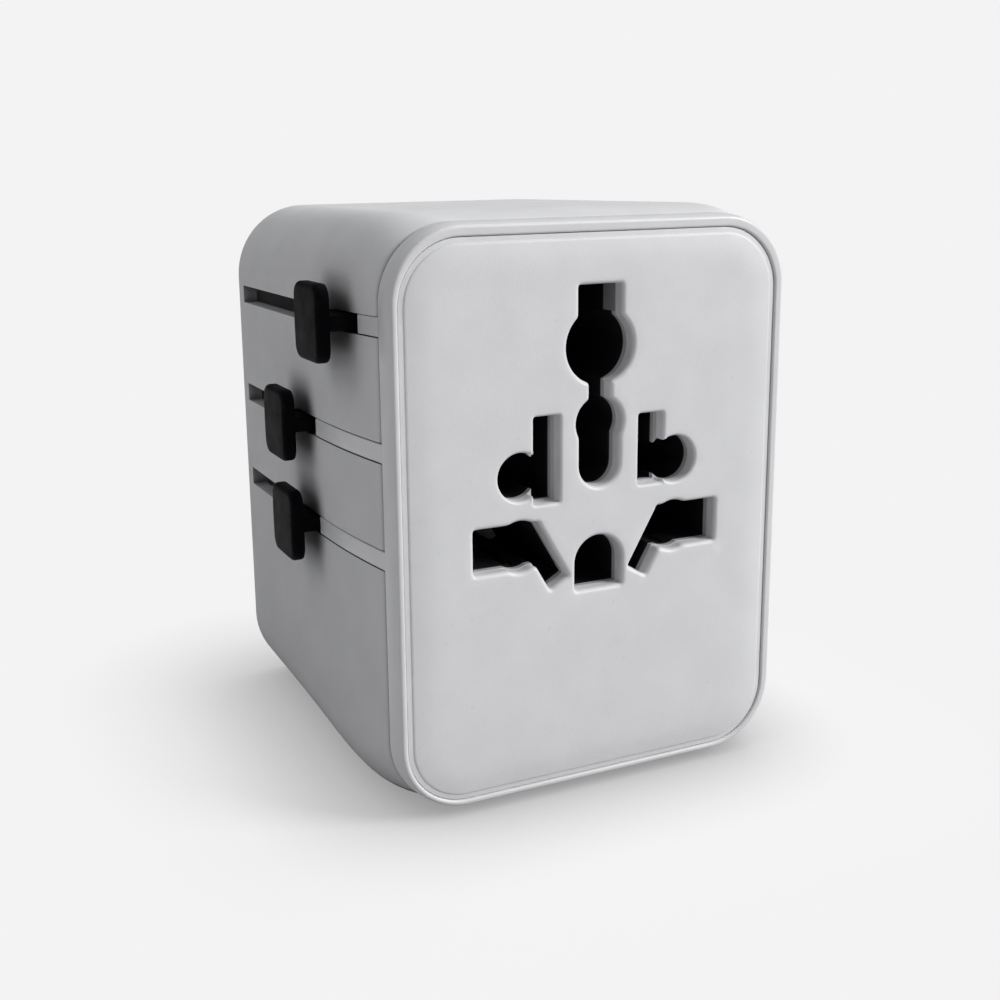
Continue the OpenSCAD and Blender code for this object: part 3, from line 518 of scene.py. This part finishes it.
# The core is painted a mid grey, darker than the white plastic, as painted shade just behind the
# face, and black inside; a darker grey on the shelf in the earth slot is deeper painted shade.
core_plastic_shaded = material("core_plastic_shaded", (0.50, 0.50, 0.515), 0.5, grain=0.3,
                        split=(INNER_BLACK, PLATE_BACK + 0.62,
                               (0.30, 0.30, 0.31), PLATE_BACK + 2.4, LINE_Z + 23.9))
knob_plastic = material("knob_plastic", BLACK, 0.55, grain=0.45, grain_scale=3800, mottle=0.15,
                        wear=0.5, wear_colour=(0.010, 0.010, 0.012), specular=0.03)
black_plastic = material("black_insulator", (0.005, 0.005, 0.006), 0.5, grain=0.4, mottle=0.15,
                         wear=0.3, wear_colour=(0.014, 0.014, 0.016), specular=0.08)
brass = material("brass_strip", (0.72, 0.50, 0.20), 0.30, grain=0.2, metallic=1.0, mottle=0.08,
                 streak=(1, 0.1, 1), wear=0.3, wear_colour=(0.85, 0.66, 0.33))
nickel = material("nickel_plate", (0.70, 0.69, 0.66), 0.24, grain=0.25, metallic=1.0, mottle=0.05,
                  streak=(1, 0.06, 1), wear=0.5, wear_colour=(0.85, 0.84, 0.80))
steel = material("zinc_steel", (0.52, 0.53, 0.55), 0.34, grain=0.3, metallic=1.0, mottle=0.08,
                 wear=0.5, wear_colour=(0.75, 0.76, 0.78))
ceramic = material("fuse_ceramic", (0.72, 0.70, 0.64), 0.28, grain=0.1, mottle=0.05)

FINISH = {"white_shell": white_shell, "white_face": white_face, "white_core": core_plastic_shaded,
          "black_knob": knob_plastic, "black_insulator": black_plastic, "brass_strip": brass,
          "nickel_pin": nickel, "steel_small": steel, "fuse_body": ceramic}
for part in frame["record"]["subparts"]:
    mesh = frame["nodes"][part["node"]].data
    mesh.materials.clear()
    mesh.materials.append(FINISH[part["material_slot"]])

# ---- housing: swollen tube with three slots and a rear rim ----


def swelling(y):
    """Half width added at depth y: a parabola from the seam that ends level."""
    t = min(max((y - SEAM) / SWELL_L, 0), 1)
    return SWELL * (1 - (1 - t) ** 2)


def section(y, inset=0.0):
    """Width, height, corner and middle height of the housing at depth y. The height follows a
    quicker parabola; the corner tightens behind the seam by v exp(1 - v) and opens to the rear."""
    tight, tight_at = 1.5, 8
    t = min(max((y - SEAM) / QUICK_L, 0), 1)
    rise = 1 - (1 - t) ** 2
    u, v = (y - SEAM) / (BACK - SEAM), (y - SEAM) / tight_at
    r = CORNER - 1 + u - tight * v * math.exp(1 - v)
    width = SEAM_W + 2 * (swelling(y) - inset)
    height = SEAM_H + (BODY_H - SEAM_H) * rise - 2 * inset
    return width, height, r - inset, SEAM_Z + (MID_Z - SEAM_Z) * rise


def slot_heights():
    """Heights on the left side: both edges of each slot, with points between the slots."""
    spacing = 1.6
    edges = sorted((z - MID_Z + s * SLOT_H / 2 for z in SLOTS.values() for s in (-1, 1)),
                   reverse=True)
    tops = [CORNER + 13.0] + edges[1::2]
    lows = edges[::2] + [-BODY_H / 2 + CORNER + 0.6]
    return np.concatenate([np.linspace(a, b, max(2, int(abs(a - b) / spacing)) + 1)
                           for a, b in zip(tops, lows)])


def housing():
    """Shell: at depth y its outline grows by the swelling; the rear edge is a quarter turn, then
    rim, inner wall and front edge close the section. Slot cells are left out and walled."""
    left = slot_heights()

    def row(y, inset, y_draw=None):
        w, h, r, middle = section(y, inset)
        flat = outline(w, h, r, 16, 12, left + MID_Z - middle)
        return lift(flat, y if y_draw is None else y_draw, middle)

    # The seam's edge is softened over its first rows; then come the swell and the straight part.
    seam_edge = {0: 0.46, 0.08: 0.24, 0.24: 0.09, 0.5: 0.02}
    skin_y = np.r_[SEAM + np.array(list(seam_edge)),
                   SEAM + SWELL_L * np.linspace(0, 1, 15)[1:] ** 1.15,
                   np.linspace(-2, SLOT_END, 12)[1:], BACK - 2.3]
    softened = np.r_[list(seam_edge.values()), np.zeros(len(skin_y) - len(seam_edge))]
    rows = [row(y, d) for y, d in zip(skin_y, softened)]
    rows += [row(BACK, i, BACK - down) for down, i in round_steps(REAR_R, 8)]
    rows += [row(BACK, RIM_IN - 0.15), row(BACK, RIM_IN, BACK - 0.15),
             row(BACK, RIM_IN, BACK - RIM_T)]
    rows += [row(y, WALL, min(y, BACK - RIM_T)) for y in skin_y[::-1]]
    grid = np.stack(rows)
    m, n = grid.shape[:2]
    cells = quads(m, n, True, True)
    row_of, col_of = cells[:, 0] // n, cells[:, 0] % n
    last = int(np.argmin(abs(skin_y - SLOT_END)))
    plain = grid[len(seam_edge)]               # first row whose edge is not softened
    on_left = plain[:, 0] < plain[:, 0].min() + 1e-6
    keep = np.ones(len(cells), bool)
    walls = []
    outside, within = np.arange(last), m - 1 - np.arange(last)
    end = m - 1 - last
    for z in SLOTS.values():
        c = int(np.where(on_left & (abs(plain[:, 2] - z - SLOT_H / 2) < 1e-4))[0][0])
        keep &= ~((col_of == c) & ((row_of < last) | (row_of >= end)))
        for col in (c, c + 1):
            walls.append(np.c_[outside * n + col, (outside + 1) * n + col,
                               (within - 1) * n + col, within * n + col])
        walls.append(np.array([[last * n + c, last * n + c + 1, end * n + c + 1, end * n + c]]))
    return [(grid.reshape(-1, 3), np.vstack([cells[keep]] + walls))]


def bosses():
    """Four tubes for the corner screws, each with a web to the top or the base."""
    front, back = SEAM + 2.15, BACK - 2
    web_w, web_h, web_out = 1.6, 2.4, 1.9
    tube = [(front, BOSS_R), (back, BOSS_R), (back, SCREW_BORE), (front, SCREW_BORE)]
    patches = []
    for x, z in SCREWS:
        patches.append(turned(tube, x, z, True))
        middle = MID_Z + (z - MID_Z) * (1 + web_out / (MID_Z - BOSS_Z))
        patches.append(bar(web_w, web_h, 0.1, [(front, 0), (back, 0)], x, middle))
    return patches


piece("housing_shell", housing() + bosses(), white_shell, "body", ["rear_housing"],
      sharp=50, bevel=0.22)


# ---- bezel: rim, seat, skirt and three tongues ----


def bezel():
    """Ring whose section runs round the rim: side band, rounded nose, opening, seat and skirt.
    Outer points are insets from the seam's outline, inner ones are offsets from the face plate."""
    nose_in, seat_in, skirt_out, skirt_in, skirt_end = 0.29, 2.5, WALL + 0.25, WALL + 1, SEAM + 2.8
    nose = [(nose_in + i, RIM_Y + down) for down, i in round_steps(NOSE_R, 7)]
    lip = [(GAP + i, RIM_Y + down) for i, down in round_steps(LIP_R, 7)]
    outer = [(0.22, SEAM), (0.08, SEAM - 0.07), (0.0, SEAM - 0.25), (0.0, SEAM - 1.0),
             (0.05, RIM_Y + 1.3), (0.17, RIM_Y + 0.75)] + nose
    inner = [(seat_in, PLATE_BACK), (seat_in, SEAM + 0.6), (skirt_in, SEAM + 0.6),
             (skirt_in, skirt_end), (skirt_out, skirt_end), (skirt_out, SEAM)]

    def around(inset, y):
        return lift(outline(SEAM_W - 2 * inset, SEAM_H - 2 * inset, 8 - inset, 16, 12), y, SEAM_Z)

    def opening(by, y):
        flat = outline(FACE_W + 2 * by, FACE_H + 2 * by, FACE_R + by, 16, 12)
        return lift(flat, y, FACE_Z, FACE_X)

    rows = [around(*p) for p in outer] + [opening(*p) for p in lip] + [opening(GAP, PLATE_BACK)]
    rows += [around(*p) for p in inner]
    patches = [loft(rows, closed=True)]
    tongue = outline(WALL, SLOT_H - 0.22, 0.14, 4, 2)
    for key, z in SLOTS.items():
        depths = np.linspace(SEAM - 0.3, TONGUES[key], 16)
        patches.append(loft([lift(tongue, y, z, WALL / 2 - SEAM_W / 2 - swelling(y))
                             for y in depths]))
    return patches


piece("bezel_ring", bezel(), white_bezel, "body", ["front_bezel"], sharp=42)


# ---- the socket's holes, drawn in X and Z about the British slots ----
# Boxes are given by their middle, half width, half height and turn; circles by middle and radius.

SLOT_ENDS = {-1: (4.29, 13.71), 1: (5.05, 12.93)}      # of the upright American slots


def line_hole(side):
    """Round European hole joined to an upright American slot."""
    low, high = SLOT_ENDS[side]
    slot = (side * 6.375, (low + high) / 2, 1.575, (high - low) / 2, 0)
    return even(star((side * 7.35, 7.5), [slot, (side * EU_X, 7.5, 2.6)]))


def angled_hole(side, g):
    """British slot, its round bulge and the slanted Australian leg."""
    near, far = 7.3, 15.1 - g
    slot = (side * (near + far) / 2, 0, (far - near) / 2, 2.6 - g, 0)
    bulge = (side * EU_X, 0, 2.95 - g)
    leg = (side * 6.7, -1.4, 1.425 - g, 3.865 - g, -30 * side)
    return even(star((side * 7.9, 0.3), [slot, bulge, leg]))


def ground_hole(g):
    """American ground hole: a box under a half circle."""
    r, top, low = 3.05 - g, -2.85, -6.0 + g
    return even(star((0, -3), [(0, (top + low) / 2, r, (top - low) / 2, 0), (0, top, r)]))


def upright_hole(g):
    """Earth hole, neck and the round-ended hole under it, from the half width at each height:
    the widest of a box, two circles, a neck and a rounded slot."""
    z = np.linspace(27.15 - g, 5.3 + g, 3000)
    box, upper_r, neck, lower_r, slot = 2.74 - g, 4.18 - g, 1.42 - g, 2.97 - g, 2.58 - g
    upper_z, lower_z, slot_z = 20.55, 12.4, 7.88

    def disc(middle, r):
        return np.sqrt(np.maximum(r * r - (z - middle) ** 2, 0))

    half = np.max([
        np.where(z > upper_z, box, 0), disc(upper_z, upper_r),
        np.where((z < upper_z) & (z > lower_z), neck, 0), disc(lower_z, lower_r),
        np.where((z < lower_z) & (z > slot_z), slot, 0), disc(slot_z, slot)], axis=0)
    right = np.c_[half, z]
    return even(np.vstack([right, right[::-1] * [-1, 1]])[::-1])


def socket_holes(g, soft, narrow):
    """All openings of the face with the rounded steps of their edges: narrow steps where a round
    hole meets a slot in a sharp notch, soft ones elsewhere, on outlines drawn in by g."""
    holes = [(upright_hole(g), soft), (ground_hole(g), soft)]
    for side in (-1, 1):
        holes += [(line_hole(side), narrow), (angled_hole(side, g), soft)]
    return [(loop + [0, LINE_Z], steps) for loop, steps in holes]


# ---- face plate ----


def face():
    """Raised middle whose edge falls away softly, a rounded step, the ledge and the outer edge."""
    outer = outline(FACE_W, FACE_H, FACE_R, 20, 26) + [FACE_X, FACE_Z]
    shoulder, fall = 0.26, RISE * 0.8
    steps = [(LEDGE + shoulder * i, fall * down) for i, down in round_steps(1, 7)]
    steps += [(LEDGE - 0.02, RISE - 0.02), (LEDGE - 0.08, RISE), (0.16, RISE),
              (0.05, RISE + 0.05), (0.0, RISE + 0.18)]

    def crown(p):
        """Depth added near the edge: the square of how far a point is into the last stretch."""
        q = np.abs(p - [FACE_X, FACE_Z]) - [FACE_W / 2 - FACE_R, FACE_H / 2 - FACE_R]
        into = np.linalg.norm(np.maximum(q, 0), axis=1) + np.minimum(np.max(q, axis=1), 0)
        into -= FACE_R
        return CROWN * np.clip(1 + (into + LEDGE) / CROWN_L, 0, 1) ** 2

    holes = socket_holes(HOLE_IN, round_steps(HOLE_SOFT, 7), round_steps(HOLE_NARROW, 7))
    return plate(outer, holes, FRONT, PLATE_BACK, steps, None, pitch=0.9, height=crown)


piece("face_panel", face(), white_face, "body", ["face_plate"], sharp=40)

# ---- back plate, its screws and the fuse cap ----


def back_panel():
    """Panel inside the housing's rear rim, with a flange behind the rim, softly edged pin
    openings, screw recesses, and three guide shelves on its inner side."""
    margin, room, thick = 0.1, 0.6, 2.0        # beside the rim, round a pin, and of the panel
    w, h = (size - 2 * (RIM_IN + margin) for size in (BODY_W, BODY_H))
    edge = round_steps(0.3, 5)
    recess = np.r_[edge + [0.9, 0], [[0.9, 1.2], [0, 1.2]]]

    def pin_hole(size, x, z):
        return even(outline(size[0] + room, size[1] + room, 0.3, 6, 6) + [x, z], 0.3, 0.05)

    cuts = [pin_hole(UK_PIN, sx * UK_X, LINE_Z) for sx in (-1, 1)]
    cuts.append(pin_hole(UK_EARTH, 0, EARTH_Z))
    for sx in (-1, 1):
        cuts.append(ring(EU_PIN_R + 0.3) + [sx * EU_X, EU_Z])
        cuts.append(ring(HUB_HOLE_R, 72) + [sx * US_X, US_Z])
        for z in (BOSS_Z, 2 * MID_Z - BOSS_Z):
            cuts.append((ring(SCREW_BORE) + [sx * BOSS_X, z], recess))
    cuts.append(ring(CAP_R + 0.1, 64) + [FUSE_X, FUSE_Z])
    outer = outline(w, h, CORNER - RIM_IN - margin, 16, 20) + [0, MID_Z]
    steps = [*round_steps(0.25, 5), (0, RIM_T), (-0.6, RIM_T), (-0.6, thick - 0.1)]
    patches = reversed_depth(plate(outer, cuts, -BACK, thick - BACK, steps, edge, pitch=2.5))
    shelf_w, shelf_t, shelf_front = 30.4, 1.6, -3.9
    for under in (15.6, 5.4, -5.6):
        patches.append(bar(shelf_w, shelf_t, 0.3, soft_ends(shelf_front, BACK - thick, 0.3), 0,
                           LINE_Z + under + shelf_t / 2))
    return patches


piece("back_panel", back_panel(), white_back, "body", ["back_plate"], sharp=40)


def screw(x, z):
    """Head with a cross recess, domed as the square of the distance from its middle, and a
    plain shank."""
    arm, half, recess_t, head_t, tip_at = 1.0, 0.2, 0.75, 1.2, BACK - 9.2
    cross = even(star((0, 0), [(0, 0, arm, half, 0), (0, 0, half, arm, 0)]), 0.08, 0.04)

    def dome(q):
        return 0.22 * (q[:, 0] ** 2 + q[:, 1] ** 2) / 4

    head = plate(ring(1.98), [], -BACK + 0.02, head_t - BACK, round_steps(0.3, 5),
                 round_steps(0.04, 3), [(cross, recess_t - BACK)], pitch=0.45, height=dome)
    shank = turned([(tip_at, 0.6), (tip_at + 0.6, SCREW_R), (BACK - head_t, SCREW_R)])
    return moved(reversed_depth(head) + [shank], x, 0, z)


piece("panel_screws", [p for spot in SCREWS for p in screw(*spot)], steel, "body",
      ["back_screws"], sharp=35)

coin_slot = even(outline(4.4, 1.2, 0.25, 5, 8), 0.12, 0.03)
CAP_L = 4.6
cap = plate(ring(CAP_R, 64), [], -BACK, CAP_L - BACK, round_steps(0.4, 6), round_steps(0.12, 4),
            [(coin_slot, 1 - BACK)], pitch=0.7)
piece("fuse_plug", moved(reversed_depth(cap), FUSE_X, 0, FUSE_Z), white_back, "body",
      ["fuse_cap"], sharp=35)

# ---- knobs ----

KNOB_T = 1.6                    # thickness of the outer plate
KNOB_SOFT = 0.55                # round of its edge
STEM = (6.2, 1.7)               # width and height
STEM_L = 4.7
TENON = (4.6, 1.1)


def knob(node):
    """Soft plate with rounded edges and a slight dome, the square of the distance from its
    middle, on a flat stem with a tenon."""
    low, high = node_box(node)
    y, z = (low[1] + high[1]) / 2, (low[2] + high[2]) / 2
    w, h = high[1] - low[1], high[2] - low[2]
    steps = [*round_steps(KNOB_SOFT, 8), (0, KNOB_T - 0.3), (0.09, KNOB_T - 0.09),
             (0.3, KNOB_T - 0.01)]

    def dome(q):
        return 0.13 * ((q[:, 0] / w * 2) ** 2 + (q[:, 1] / h * 2) ** 2) / 2

    slab = plate(outline(w, h, 1.5, 10, 8), [], low[0], low[0] + KNOB_T, steps, None,
                 pitch=0.9, height=dome)
    inner = low[0] + KNOB_T + STEM_L
    stem = bar(*STEM, 0.35, [(low[0] + KNOB_T - 0.3, 0), (inner, 0)])
    tenon = bar(*TENON, 0.1, soft_ends(inner - 0.2, high[0], 0.1))
    return moved(sideways(slab + [stem, tenon]), 0, y, z)


for key in SLOTS:
    piece(key + "_button", knob(key + "_knob"), knob_plastic, key + "_plug",
          [key + "_knob"], sharp=45)

# ---- pins ----

UK_TIP = (2, 0.6, 0.3)          # taper, inset and nose of the British pins


def tipped(y0, y1, taper, inset, nose):
    """Stops of a bar whose tip narrows by inset over the taper and ends in a small round nose."""
    stops = [(y0, 0), (y1 - taper, 0), (y1 - nose, inset * (1 - nose / taper))]
    return stops + [(y1 - down, inset + 0.6 * i) for down, i in round_steps(nose, 5)[1:]]


def line_pin(node):
    """British line or neutral pin: root, neck under the sleeve, and the bare tapered end."""
    low, high = node_box(node)
    x, z = (low[0] + high[0]) / 2, (low[2] + high[2]) / 2
    sleeve_low, sleeve_high = node_box("uk_pin_sleeves")
    start, stop = sleeve_low[1], sleeve_high[1]
    neck = (5.5, 3.15)
    return [bar(*UK_PIN, 0.3, soft_ends(low[1], start, 0.2), x, z),
            bar(*neck, 0.2, [(start - 0.2, 0), (stop + 0.2, 0)], x, z),
            bar(*UK_PIN, 0.3, tipped(stop + 0.01, high[1], *UK_TIP), x, z)]


for side in ("live", "neutral"):
    piece("uk_" + side + "_bar", line_pin("uk_" + side + "_pin"), nickel, "uk_plug",
          ["uk_" + side + "_pin"], sharp=35)
low, high = node_box("uk_earth_pin")
earth_bar = bar(*UK_EARTH, 0.35, tipped(low[1], high[1], *UK_TIP), 0, EARTH_Z)
piece("uk_earth_bar", [earth_bar], nickel, "uk_plug", ["uk_earth_pin"], sharp=35)


def sleeves():
    """Closed tube round each neck, its outer edges rounded."""
    low, high = node_box("uk_pin_sleeves")
    start, stop, soft, thick = low[1], high[1], 0.08, 0.4
    stops = [(start, soft), (start + soft, 0), (stop - soft, 0), (stop, soft), (stop, thick),
             (start, thick)]
    loops = [(y, outline(UK_PIN[0] - 2 * i, UK_PIN[1] - 2 * i, max(0.3 - i, 0.1), 6, 3))
             for y, i in stops]
    return [loft([lift(loop, y, LINE_Z, x) for y, loop in loops], True) for x in (-UK_X, UK_X)]


piece("uk_bar_sleeves", sleeves(), black_plastic, "uk_plug",
      ["uk_pin_sleeves"], sharp=40)


def rod(node, x):
    """European pin: shank in the carriage, bare length, and a tip rounded by two curves."""
    low, high = node_box(node)
    shoulder, tip = node_box("eu_carriage")[1][1], high[1]
    shank_r, tip_l = 1.7, 1.2
    profile = [(low[1], shank_r - 0.1), (low[1] + 0.1, shank_r), (shoulder, shank_r),
               (shoulder, EU_PIN_R - 0.1), (shoulder + 0.1, EU_PIN_R)]
    profile += [(tip - tip_l + 0.25 * math.sin(a), EU_PIN_R - 0.17 * (1 - math.cos(a)))
                for a in np.linspace(0, 1.2, 4)]
    profile += [(tip - 0.25, 1.36), (tip - 0.07, 1.2), (tip, 0.95), (tip, 0.4)]
    return [turned(profile, x, EU_Z)]


def blade(node):
    """American blade whose tip is drawn in more upright than across."""
    low, high = node_box(node)
    end = high[1]
    stops = [(low[1], 0.05), (low[1] + 0.1, 0), (end - 2, 0), (end - 0.7, 0.05, 0.4),
             (end - 0.2, 0.2, 0.62), (end, 0.42, 0.9)]
    return [bar(*US_BLADE, 0.12, stops, (low[0] + high[0]) / 2, US_Z + BLADE_UP)]


for side, x in (("live", EU_X), ("neutral", -EU_X)):
    pin, strip = "eu_" + side + "_pin", "us_" + side + "_blade"
    piece("eu_" + side + "_rod", rod(pin, x), nickel, "eu_plug", [pin], sharp=35)
    piece("us_" + side + "_strip", blade(strip), nickel, "us_" + side + "_pin",
          [strip], sharp=35)

for name in ("uk_carriage", "eu_carriage", "us_carriage", "us_retainer", "us_live_hub",
             "us_neutral_hub", "fuse_holder"):
    soft = frame["nodes"][name].modifiers.new("edge", "BEVEL")
    soft.width = 0.12 * MM
    soft.segments = 2
    soft.limit_method = "ANGLE"
    soft.angle_limit = math.radians(40)

# ---- scene: floor, light, camera ----

PALE = 0.895                    # level of the background, as a linear value
FLOOR_OPEN = 0.42               # matt floor in the open, and in the painted shadow beneath the object
FLOOR_SHADOWED = 0.08
LIFT_OPEN = 0.53                # light added for camera and mirror rays, in the same two places
LIFT_SHADOWED = 0.30
PAINTED_SHADOW_REACH = 0.016                 # metres over which a painted shadow darkens the floor round the object
FADE = (0.003, 0.034)           # metres from the footprint at which the floor turns pale
FOOT_IN = 0.004                 # how far the footprint is drawn in

# Floor: a disc of rings just below the base, in metres.
FLOOR_Z = -0.00002
spokes = 96
around = np.linspace(0, 2 * np.pi, spokes, endpoint=False)
radii = np.array([0.0, 0.05, 0.12, 0.25, 0.5, 1.0, 3.0])
disc = np.stack([np.c_[r * np.cos(around), r * np.sin(around), np.full(spokes, FLOOR_Z)]
                 for r in radii])
floor_mesh = bpy.data.meshes.new("floor")
floor_mesh.from_pydata(disc.reshape(-1, 3).tolist(), [],
                       quads(len(radii), spokes, False, True).tolist())
floor = bpy.data.objects.new("floor", floor_mesh)
bpy.context.scene.collection.objects.link(floor)


def stage_material():
    """Matt floor that keeps its real shadow, is darkened further near the object by a painted
    shadow from an occlusion node, and fades into the pale background.
    """
    mat = bpy.data.materials.new("pale_floor")
    mat.use_nodes = True
    nodes, links = mat.node_tree.nodes, mat.node_tree.links
    nodes.clear()

    def node(kind, operation=None, *sources):
        """New node, its first inputs fed by the given sockets."""
        n = nodes.new("ShaderNode" + kind)
        if operation:
            n.operation = operation
        for socket, source in zip(n.inputs, sources):
            links.new(source, socket)
        return n

    def greys(factor, hid, bare):
        """Two greys mixed by a factor, as a colour."""
        n = node("Mix")
        n.data_type = "RGBA"
        links.new(factor, n.inputs["Factor"])
        n.inputs["A"].default_value = hid
        n.inputs["B"].default_value = bare
        return n.outputs["Result"]

    # Painted shadow: an occlusion node darkens the floor's colour and its added glow near the
    # object.
    painted_shadow_power = 1.1
    close = node("AmbientOcclusion")
    close.inputs["Distance"].default_value = PAINTED_SHADOW_REACH
    close.samples = 8
    painted_shadow = node("Math", "POWER", close.outputs["AO"])
    painted_shadow.inputs[1].default_value = painted_shadow_power
    near = painted_shadow.outputs[0]
    matt = node("BsdfDiffuse", None, greys(near, (FLOOR_SHADOWED, FLOOR_SHADOWED, 0.082, 1),
                                           (FLOOR_OPEN, FLOOR_OPEN, 0.425, 1)))
    path = node("LightPath")
    seen = node("Math", "MAXIMUM", path.outputs["Is Camera Ray"],
                path.outputs["Is Glossy Ray"]).outputs[0]
    raised = node("Emission", None, greys(near, (LIFT_SHADOWED, LIFT_SHADOWED, 0.302, 1),
                                          (LIFT_OPEN, LIFT_OPEN, LIFT_OPEN, 1)), seen)
    ground = node("AddShader", None, matt.outputs[0], raised.outputs[0])

    # Distance from the footprint: how far a point's |x| and |y| lie past its half sizes.
    place = node("TexCoord")
    whole = node("VectorMath", "ABSOLUTE", place.outputs["Object"])
    past = node("VectorMath", "SUBTRACT", whole.outputs[0])
    past.inputs[1].default_value = (BODY_W / 2 * MM - FOOT_IN, BACK * MM - FOOT_IN, 0)
    edge = node("VectorMath", "MAXIMUM", past.outputs[0])
    edge.inputs[1].default_value = (0, 0, 0)
    far = node("VectorMath", "LENGTH", edge.outputs[0])
    fade = node("MapRange", None, far.outputs["Value"])
    fade.interpolation_type = "SMOOTHSTEP"
    fade.inputs["From Min"].default_value, fade.inputs["From Max"].default_value = FADE
    both = node("Math", "MULTIPLY", fade.outputs["Result"], seen)

    glow = node("Emission")
    glow.inputs["Color"].default_value = (PALE, PALE, PALE, 1)
    mix = node("MixShader", None, both.outputs[0], ground.outputs[0], glow.outputs[0])
    node("OutputMaterial", None, mix.outputs[0])
    return mat


floor_mesh.materials.append(stage_material())

# World: soft light for the object, the pale background for the camera.
world = bpy.data.worlds.new("studio")
bpy.context.scene.world = world
world.use_nodes = True
world_nodes, world_links = world.node_tree.nodes, world.node_tree.links
world_nodes.clear()
world_mix = world_nodes.new("ShaderNodeMixShader")
world_path = world_nodes.new("ShaderNodeLightPath")
world_links.new(world_path.outputs["Is Camera Ray"], world_mix.inputs["Fac"])
SKY = (0.97, 0.98, 1.0, 1), 0.28               # colour and strength
BACKDROP = (PALE, PALE, PALE, 1), 1.0
for socket, (colour, strength) in zip((1, 2), (SKY, BACKDROP)):
    glow = world_nodes.new("ShaderNodeBackground")
    glow.inputs["Color"].default_value = colour
    glow.inputs["Strength"].default_value = strength
    world_links.new(glow.outputs[0], world_mix.inputs[socket])
world_out = world_nodes.new("ShaderNodeOutputWorld")
world_links.new(world_mix.outputs[0], world_out.inputs["Surface"])


def softbox(name, place, size, power):
    """Square area light at a place, turned to face the middle of the object."""
    lamp = bpy.data.lights.new(name, "AREA")
    lamp.shape = "SQUARE"
    lamp.size = size
    lamp.energy = power
    obj = bpy.data.objects.new(name, lamp)
    bpy.context.scene.collection.objects.link(obj)
    obj.location = place
    obj.rotation_mode = "QUATERNION"
    obj.rotation_quaternion = (Vector((0, 0, MID_Z * MM)) - Vector(place)).to_track_quat("-Z", "Y")


# Places and sizes in metres, power in watts
softbox("key_light", (0.85, -0.68, 0.62), 0.50, 13.7)
softbox("top_light", (0.22, 0.10, 0.62), 0.30, 0.60)
softbox("left_fill", (-0.50, 0.10, 0.52), 0.40, 0.60)

cam_data = bpy.data.cameras.new("camera")
cam = bpy.data.objects.new("camera", cam_data)
bpy.context.scene.collection.objects.link(cam)
bpy.context.scene.camera = cam

AZIMUTH, TILT, ROLL = 0.421, 0.217, -0.017     # radians: turned right, tilted down, rolled
OFFSET = np.array([16.122, 8.744, 137.458])    # British slots' centre seen from the camera, mm
LENS = 45.92                                   # mm, on a sensor 36 mm wide
SHIFT = (0.050, -0.0453)


def rotation(angle):
    """Rotation about Z."""
    c, s = math.cos(angle), math.sin(angle)
    return np.array([[c, -s, 0], [s, c, 0], [0, 0, 1]])


# Object space to the camera's right, down and forward axes: spin about Z, stand up, nod, roll.
ce, se = math.cos(TILT), math.sin(TILT)
upright = np.array([[1, 0, 0], [0, 0, -1], [0, 1, 0]])
nod = np.array([[1, 0, 0], [0, ce, -se], [0, se, ce]])
view = rotation(ROLL) @ nod @ upright @ rotation(AZIMUTH)
eye = -view.T @ OFFSET + np.array([0, FRONT, LINE_Z])
pose = Matrix.Identity(4)
for k in range(3):
    pose[k][0], pose[k][1], pose[k][2] = view[0][k], -view[1][k], -view[2][k]
    pose[k][3] = eye[k] * MM
cam.matrix_world = pose
cam_data.sensor_width = 36
cam_data.lens = LENS
cam_data.shift_x, cam_data.shift_y = SHIFT
cam_data.clip_start = 0.005
cam_data.clip_end = 20

bpy.context.scene.view_settings.view_transform = "Standard"
